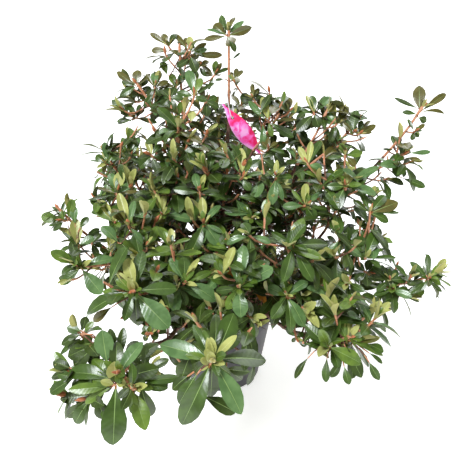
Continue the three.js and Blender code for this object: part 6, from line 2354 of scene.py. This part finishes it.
@dataclass
class Limbs:
    """The stool and the boughs, with the relief of their bark."""

    skeleton: Skeleton
    sides: int = 14
    step: float = 0.0022
    sunk_share: float = 0.75
    crack_depth: float = 0.00032
    crack_width: float = 0.0022
    crack_length: float = 0.014
    swelling: float = 0.0006
    swelling_every: float = 0.038
    stool_height: float = 0.034
    stool_radius: float = 0.0125
    stool_flare: float = 0.020
    stool_sides: int = 40
    stool_rings: int = 9
    lobes: int = 5
    lobe_share: float = 0.13
    stub_radius: float = 0.0062
    stub_sides: int = 16
    stool_voxel: float = 0.0011
    stool_grain: float = 0.004
    stool_cracks: float = 0.0012
    stool_sink: float = 0.003

    def relief(self, rings: np.ndarray, outward: np.ndarray, travelled: np.ndarray) -> np.ndarray:
        """Returns how far the bark stands out: lengthwise cracks, and swellings at old whorls.

        Args:
            rings: the vertices, ring by ring.
            outward: their outward directions.
            travelled: the distance of each ring from the limb's foot.

        Returns:
            The height of the bark at each vertex.
        """
        lifted = np.empty(rings.shape[:2])
        seed = rings[0, 0] * 50
        radius = self.skeleton.bough_foot
        for i, distance in enumerate(travelled):
            knuckle = math.cos(2 * math.pi * distance / self.swelling_every + seed[0]) ** 8
            for j, way in enumerate(outward[i]):
                angle = 2 * math.pi * j / len(outward[i])
                place_on_bark = Vector((
                    math.cos(angle) * radius / self.crack_width + seed[0],
                    math.sin(angle) * radius / self.crack_width + seed[1],
                    distance / self.crack_length * 3))
                crack = -abs(noise.noise(place_on_bark)) * 3
                lifted[i, j] = self.crack_depth * crack + self.swelling * knuckle
        return lifted

    def boughs(self) -> bpy.types.Object:
        """Makes the boughs, each with its foot sunk into its stub.

        Returns:
            The finished piece.
        """
        parts = MeshParts()
        for index, bough in enumerate(BOUGHS):
            rough = self.skeleton.bough_line(index, 20)
            length = np.linalg.norm(np.diff(rough, axis=0), axis=1).sum()
            steps = int(length / self.step)
            line = self.skeleton.bough_line(index, steps)
            root, direction, end = self.skeleton.stub(bough)
            line = np.concatenate((mix(root, end, self.sunk_share)[None], line))
            share = np.concatenate(([0], np.linspace(0, 1, steps + 1)))
            radii = mix(self.skeleton.bough_foot, self.skeleton.bough_tip,
                        share ** self.skeleton.bough_taper)
            tube(parts, line, radii, self.sides, np.zeros(len(line) - 1, int), self.relief)
        piece = parts.piece("bough_limbs", [BOUGH_FINISH.material()])
        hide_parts(*[bough.name for bough in BOUGHS])
        return finished(piece)

    def stool(self) -> bpy.types.Object:
        """Makes the stool: a flared foot and the stubs, fused by a fine remesh.

        Returns:
            The finished piece.
        """
        parts = MeshParts()
        foot = self.skeleton.stool_foot
        share = np.linspace(0, 1, self.stool_rings)
        flare = (1 - share) ** 3
        line = np.outer(share, UP * self.stool_height) + UP * foot
        tube(parts, line, mix(self.stool_radius, self.stool_flare, flare), self.stool_sides,
             np.zeros(self.stool_rings - 1, int), self.root_lobes)
        for bough in BOUGHS:
            root, direction, end = self.skeleton.stub(bough)
            line = np.array([mix(root + direction * 0.002, end, s) for s in np.linspace(0, 1, 6)])
            radii = mix(self.stub_radius, self.skeleton.bough_foot, np.linspace(0, 1, 6) ** 0.6)
            tube(parts, line, radii, self.stub_sides, np.zeros(5, int))
        piece = parts.piece("stool_bark", [BOUGH_FINISH.material()])
        remesh = piece.modifiers.new("fuse", "REMESH")
        remesh.mode = "VOXEL"
        remesh.voxel_size = self.stool_voxel
        smooth = piece.modifiers.new("soften", "SMOOTH")
        smooth.iterations = 3
        texture = bpy.data.textures.new("bark_cracks", "CLOUDS")
        texture.noise_scale = self.stool_grain
        texture.noise_depth = 3
        cracks = piece.modifiers.new("cracks", "DISPLACE")
        cracks.texture = texture
        cracks.texture_coords = "GLOBAL"
        cracks.strength = self.stool_cracks
        cracks.mid_level = 0.5
        apply_modifiers(piece)
        mesh = piece.data
        points = np.empty(len(mesh.vertices) * 3, np.float32)
        mesh.vertices.foreach_get("co", points)
        points = points.reshape(-1, 3)
        points[:, 2] = np.maximum(points[:, 2], foot - self.stool_sink)
        mesh.vertices.foreach_set("co", points.ravel())
        mesh.shade_smooth()
        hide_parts("stool")
        return finished(piece)

    def root_lobes(self, rings: np.ndarray, outward: np.ndarray,
                   travelled: np.ndarray) -> np.ndarray:
        """Returns how far the stool's foot swells out towards its main roots.

        Args:
            rings: the vertices, ring by ring.
            outward: their outward directions; not used.
            travelled: the distance of each ring from the foot.

        Returns:
            The swelling at each vertex.
        """
        sides = rings.shape[1]
        flare = (1 - travelled / travelled[-1]) ** 3
        lobes = np.cos(2 * math.pi * self.lobes * np.arange(sides) / sides)
        return self.stool_flare * self.lobe_share * flare[:, None] * lobes[None, :]


@dataclass
class Pot:
    """The nursery pot and the compost in it."""

    height: float = 0.148
    rim_radius: float = 0.095
    foot_radius: float = 0.0725
    wall: float = 0.0018
    band: float = 0.015
    step: float = 0.003
    chamfer: float = 0.003
    ease: float = 0.0002
    edge: float = 0.0006
    band_edge: float = 0.0015
    taper: float = 0.0008
    sides: int = 128
    fill_drop: float = 0.011
    fill_foot: float = 0.003
    fill_gap: float = 0.0006
    fill_voxel: float = 0.0028
    fill_skin: float = 0.004
    mound_height: float = 0.004
    mound_radius: float = 0.085
    lump_size: float = 0.012
    lump_height: float = 0.0022
    lump_sink: float = 0.0018
    crumb_count: int = 850
    crumb_reach: float = 0.088
    crumb_sizes: tuple[float, float] = (0.0008, 0.0026)
    crumb_drop: float = 0.0112
    crumb_sink: float = 0.0014

    def inner_radius(self, height: float) -> float:
        """Returns the radius inside the wall at a height."""
        share = height / (self.height - self.band)
        return mix(self.foot_radius, self.rim_radius - self.step, share) - self.wall

    def mound(self, reach: float) -> float:
        """Returns how far the compost is heaped up at a distance from the pot's axis."""
        return self.mound_height * max(0.0, 1 - reach / self.mound_radius)

    def profile(self) -> list[tuple[float, float]]:
        """Returns the radii and heights of the pot's turned outline, from foot round to floor.

        Returns:
            Pairs of a radius and a height.
        """
        band_foot = self.height - self.band
        outer, inner = self.rim_radius, self.rim_radius - self.wall
        foot = [
            (self.foot_radius - self.chamfer * (1 - math.sin(angle)),
             self.chamfer * (1 - math.cos(angle)))
            for angle in np.linspace(0.2, math.pi / 2, 5)]
        lip = [
            ((outer + inner) / 2 + self.wall / 2 * math.cos(angle),
             self.height - self.wall / 2 + self.wall / 2 * math.sin(angle))
            for angle in np.linspace(0, math.pi, 7)]
        return foot + [
            (self.rim_radius - self.step - self.ease, band_foot - self.edge),
            (self.rim_radius - self.step + self.ease, band_foot),
            (outer - self.edge * 2, band_foot + self.edge),
            (outer - self.taper, band_foot + self.band_edge),
        ] + lip + [
            (inner - self.taper, band_foot + self.band_edge),
            (self.inner_radius(band_foot), band_foot),
            (self.inner_radius(self.chamfer), self.chamfer),
            (self.inner_radius(self.chamfer) - 0.001, self.wall),
        ]

    def build(self) -> bpy.types.Object:
        """Draws the pot up ring by ring from a disc, over its lip and down to its floor.

        Returns:
            The finished piece.
        """
        radius = self.foot_radius - self.chamfer
        piece = started("nursery_pot", bpy.ops.mesh.primitive_circle_add, vertices=self.sides,
                        radius=radius, fill_type="NGON")
        bpy.ops.object.mode_set(mode="EDIT")
        bpy.ops.mesh.select_all(action="SELECT")
        height = 0.0
        for new_radius, new_height in self.profile():
            bpy.ops.mesh.extrude_region_move(
                TRANSFORM_OT_translate={"value": (0, 0, new_height - height)})
            bpy.ops.transform.resize(
                value=(new_radius / radius, new_radius / radius, 1),
                center_override=(0, 0, new_height))
            radius, height = new_radius, new_height
        bpy.ops.mesh.select_all(action="SELECT")
        bpy.ops.mesh.normals_make_consistent(inside=False)
        bpy.ops.object.mode_set(mode="OBJECT")
        bpy.ops.object.shade_smooth_by_angle(angle=math.radians(35))
        piece.data.materials.append(PotFinish().material())
        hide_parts("pot")
        return finished(piece)

    def compost(self) -> bpy.types.Object:
        """Makes the compost: a filled body with an uneven top, and crumbs on it.

        Returns:
            The finished piece.
        """
        top, bottom = self.height - self.fill_drop, self.fill_foot
        piece = started("compost_fill", bpy.ops.mesh.primitive_cone_add, vertices=96,
                        radius1=self.inner_radius(bottom) - self.fill_gap,
                        radius2=self.inner_radius(self.height - self.band) - self.fill_gap,
                        depth=top - bottom, location=(0, 0, (top + bottom) / 2))
        bpy.ops.object.transform_apply(location=True, rotation=True, scale=True)
        remesh = piece.modifiers.new("even", "REMESH")
        remesh.mode = "VOXEL"
        remesh.voxel_size = self.fill_voxel
        apply_modifiers(piece)
        mesh = piece.data
        for vertex in mesh.vertices:
            x, y, z = vertex.co
            if z > top - self.fill_skin:
                lump = noise.fractal(Vector((x, y, 0)) / self.lump_size, 1.0, 2.0, 4)
                vertex.co.z += self.mound(math.hypot(x, y)) + self.lump_height * lump - self.lump_sink
        mesh.shade_smooth()
        mesh.materials.append(CompostFinish().material())
        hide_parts("potting_compost")
        return finished(piece)

    def crumbs(self) -> bpy.types.Object:
        """Scatters crumbs and bark chips over the compost, each its own size and turn.

        Returns:
            The finished piece.
        """
        model = started("crumb", bpy.ops.mesh.primitive_ico_sphere_add, subdivisions=1, radius=1)
        corners = np.array([vertex.co for vertex in model.data.vertices])
        loops = np.array([loop.vertex_index for loop in model.data.loops])
        totals = np.full(len(model.data.polygons), 3)
        bpy.data.objects.remove(model)
        draw = Draws(31)
        parts = MeshParts()
        for _ in range(self.crumb_count):
            reach = self.crumb_reach * math.sqrt(draw.between(0.0, 1.0))
            spot = place(draw.between(0, 360), reach, 0)
            size = draw.between(*self.crumb_sizes)
            shape = np.array((draw.between(0.6, 1.8), draw.between(0.6, 1.2), draw.between(0.3, 0.8)))
            axis = unit(np.array([draw.between(-1, 1) for _ in range(3)]) + 1e-6)
            first, second = square_to(axis)
            turn = np.array((first, second, axis))
            spot[2] = self.height - self.crumb_drop + self.mound(reach) - self.crumb_sink + size * 0.3
            points = corners * (1 + 0.25 * np.sin(corners * 7 + reach * 900)) * shape * size
            parts.add(points @ turn + spot, totals, loops, np.zeros(len(totals), int),
                      corners[:, :2] * 0.5 + 0.5)
        piece = parts.piece("compost_crumbs", [CompostFinish().material()], math.radians(30))
        return finished(piece)


@dataclass
class Label:
    """The pointed plant label and the looped tie that it hangs from."""

    skeleton: Skeleton
    thickness: float = 0.0007
    rows: int = 26
    columns: int = 8
    ends: tuple[float, float] = (0, 0.95)
    bluntness: float = 1.25
    least_width: float = 0.12
    hole_radius: float = 0.003
    pinch: float = 0.5
    pinch_share: float = 0.9
    pinch_length: float = 0.035
    tie_model: float = 0.25
    tie_steps: int = 56
    tie_width: float = 0.0011
    tie_thickness: float = 0.0006

    def half_width(self, share: float) -> float:
        """Returns the label's half-width at a share of its length.

        Args:
            share: how far down the label, from 0 to 1.

        Returns:
            The half-width in metres.
        """
        fullness = math.sin(math.pi * mix(*self.ends, share)) ** self.bluntness
        crease = math.exp(-((share - self.pinch_share) / self.pinch_length) ** 2)
        fullness = max(self.least_width, fullness * (1 - self.pinch * crease))
        return self.skeleton.hanging.width / 2 * fullness

    def build(self) -> bpy.types.Object:
        """Shapes the label from a grid, thickens it and cuts its hole.

        Returns:
            The finished piece.
        """
        hang, hole = self.skeleton.hanging, self.skeleton.hole
        piece = started("pointed_label", bpy.ops.mesh.primitive_grid_add, x_subdivisions=self.rows,
                        y_subdivisions=self.columns, size=2)
        for vertex in piece.data.vertices:
            share = (vertex.co.x + 1) / 2
            aside = vertex.co.y * self.half_width(share)
            vertex.co = hang.point(hole, share, aside)
        thicken = piece.modifiers.new("sheet", "SOLIDIFY")
        thicken.thickness = self.thickness
        thicken.offset = 0
        cutter = self.hole_cutter(hole)
        cut = piece.modifiers.new("hole", "BOOLEAN")
        cut.operation = "DIFFERENCE"
        cut.solver = "EXACT"
        cut.object = cutter
        apply_modifiers(piece)
        bpy.data.objects.remove(cutter)
        piece.data.shade_smooth()
        piece.data.set_sharp_from_angle(angle=math.radians(40))
        piece.data.materials.clear()
        piece.data.materials.append(LabelFinish().material())
        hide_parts("plant_label")
        return finished(piece)

    def hole_cutter(self, hole: np.ndarray) -> bpy.types.Object:
        """Returns the round bar that cuts the label's hole.

        Args:
            hole: the centre of the hole.

        Returns:
            The bar.
        """
        return started("hole_cutter", bpy.ops.mesh.primitive_cylinder_add, vertices=24,
                       radius=self.hole_radius, depth=0.03, location=tuple(hole),
                       rotation=(math.pi / 2, 0, 0))

    def tie(self) -> bpy.types.Object:
        """Makes the tie: a flat band that hooks over the stem and passes through the label.

        Returns:
            The finished piece.
        """
        loop = self.skeleton.hanging.tie_loop(self.skeleton.tie_stem, self.tie_steps)
        piece = started("looped_tie", bpy.ops.mesh.primitive_torus_add,
                        major_segments=self.tie_steps, minor_segments=10, major_radius=1,
                        minor_radius=self.tie_model)
        centre = loop.mean(axis=0)
        flat = unit(np.cross(loop[0] - centre, loop[self.tie_steps // 4] - centre))
        for vertex in piece.data.vertices:
            angle = math.atan2(vertex.co.y, vertex.co.x) % (2 * math.pi)
            spot = angle / (2 * math.pi) * self.tie_steps
            low = int(spot) % self.tie_steps
            middle = mix(loop[low], loop[(low + 1) % self.tie_steps], spot - int(spot))
            along = unit(loop[(low + 1) % self.tie_steps] - loop[low])
            outward = np.cross(along, flat)
            out = (math.hypot(vertex.co.x, vertex.co.y) - 1) / self.tie_model
            aside = vertex.co.z / self.tie_model
            vertex.co = (middle + outward * out * self.tie_thickness
                         + flat * aside * self.tie_width)
        choose(piece)
        bpy.ops.object.mode_set(mode="EDIT")
        bpy.ops.mesh.select_all(action="SELECT")
        bpy.ops.mesh.normals_make_consistent(inside=False)
        bpy.ops.object.mode_set(mode="OBJECT")
        piece.data.shade_smooth()
        piece.data.materials.append(
            PlainFinish("clear_white_polythene", "#eceef2", 0.28, 0.002).material())
        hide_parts("label_tie")
        return finished(piece)


@dataclass
class Studio:
    """The pale floor, the soft lights and the photograph's camera."""

    floor_radius: float = 150.0
    floor_colour: str = "#f4f4f2"
    floor_glow: float = 0.62
    sky: float = 0.38

    def build(self) -> None:
        """Sets the studio up round the plant."""
        floor = started("floor", bpy.ops.mesh.primitive_circle_add, vertices=96,
                        radius=self.floor_radius, fill_type="NGON", location=(0, 0, -0.0005))
        material = PlainFinish("matt_pale_floor", self.floor_colour, 0.85, 0.004, 0.02).material()
        shader = material.node_tree.nodes["Principled BSDF"]
        shader.inputs["Emission Color"].default_value = linear(self.floor_colour)
        shader.inputs["Emission Strength"].default_value = self.floor_glow
        floor.data.materials.append(material)
        world = bpy.data.worlds.new("soft_daylight")
        world.use_nodes = True
        background = world.node_tree.nodes["Background"]
        background.inputs["Color"].default_value = linear("#f2f2ec")
        background.inputs["Strength"].default_value = self.sky
        bpy.context.scene.world = world
        bpy.context.scene.view_settings.view_transform = "Standard"
        self.sun("key_light", (-0.45, -0.55, 1.0), 3.6, 18)
        self.sun("rim_light", (0.3, 0.9, 0.9), 1.8, 50)
        self.camera()

    @staticmethod
    def sun(name: str, side: tuple[float, float, float], power: float, softness: float) -> None:
        """Adds an even light from far away, soft as from a broad window.

        Args:
            name: the light's name.
            side: the direction that it shines from.
            power: its power in watts per square metre.
            softness: how wide it looks, in degrees.
        """
        light = bpy.data.lights.new(name, "SUN")
        light.energy = power
        light.angle = math.radians(softness)
        light.color = linear("#f6f9ff")[:3]
        lamp = bpy.data.objects.new(name, light)
        lamp.rotation_euler = (-Vector(side)).to_track_quat("-Z", "Y").to_euler()
        bpy.context.scene.collection.objects.link(lamp)

    @staticmethod
    def camera() -> None:
        """Adds the camera at the photograph's place, pitch and focal length."""
        camera = bpy.data.cameras.new("camera")
        camera.sensor_width = SENSOR_WIDTH
        camera.lens = SENSOR_WIDTH * FOCAL_PIXELS / IMAGE_PIXELS
        holder = bpy.data.objects.new("camera", camera)
        holder.location = CAMERA_PLACE
        holder.rotation_euler = (math.radians(90 - CAMERA_PITCH), 0, 0)
        bpy.context.scene.collection.objects.link(holder)
        bpy.context.scene.camera = holder


def main() -> None:
    """Builds the plant from the pot up, and then its studio."""
    logging.basicConfig(level=logging.INFO, format="%(message)s")
    skeleton = Skeleton()
    pot = Pot()
    pot.build()
    pot.compost()
    pot.crumbs()
    limbs = Limbs(skeleton)
    limbs.stool()
    limbs.boughs()
    Crown(skeleton).build()
    label = Label(skeleton)
    label.build()
    label.tie()
    Studio().build()


if __name__ == "__main__":
    main()
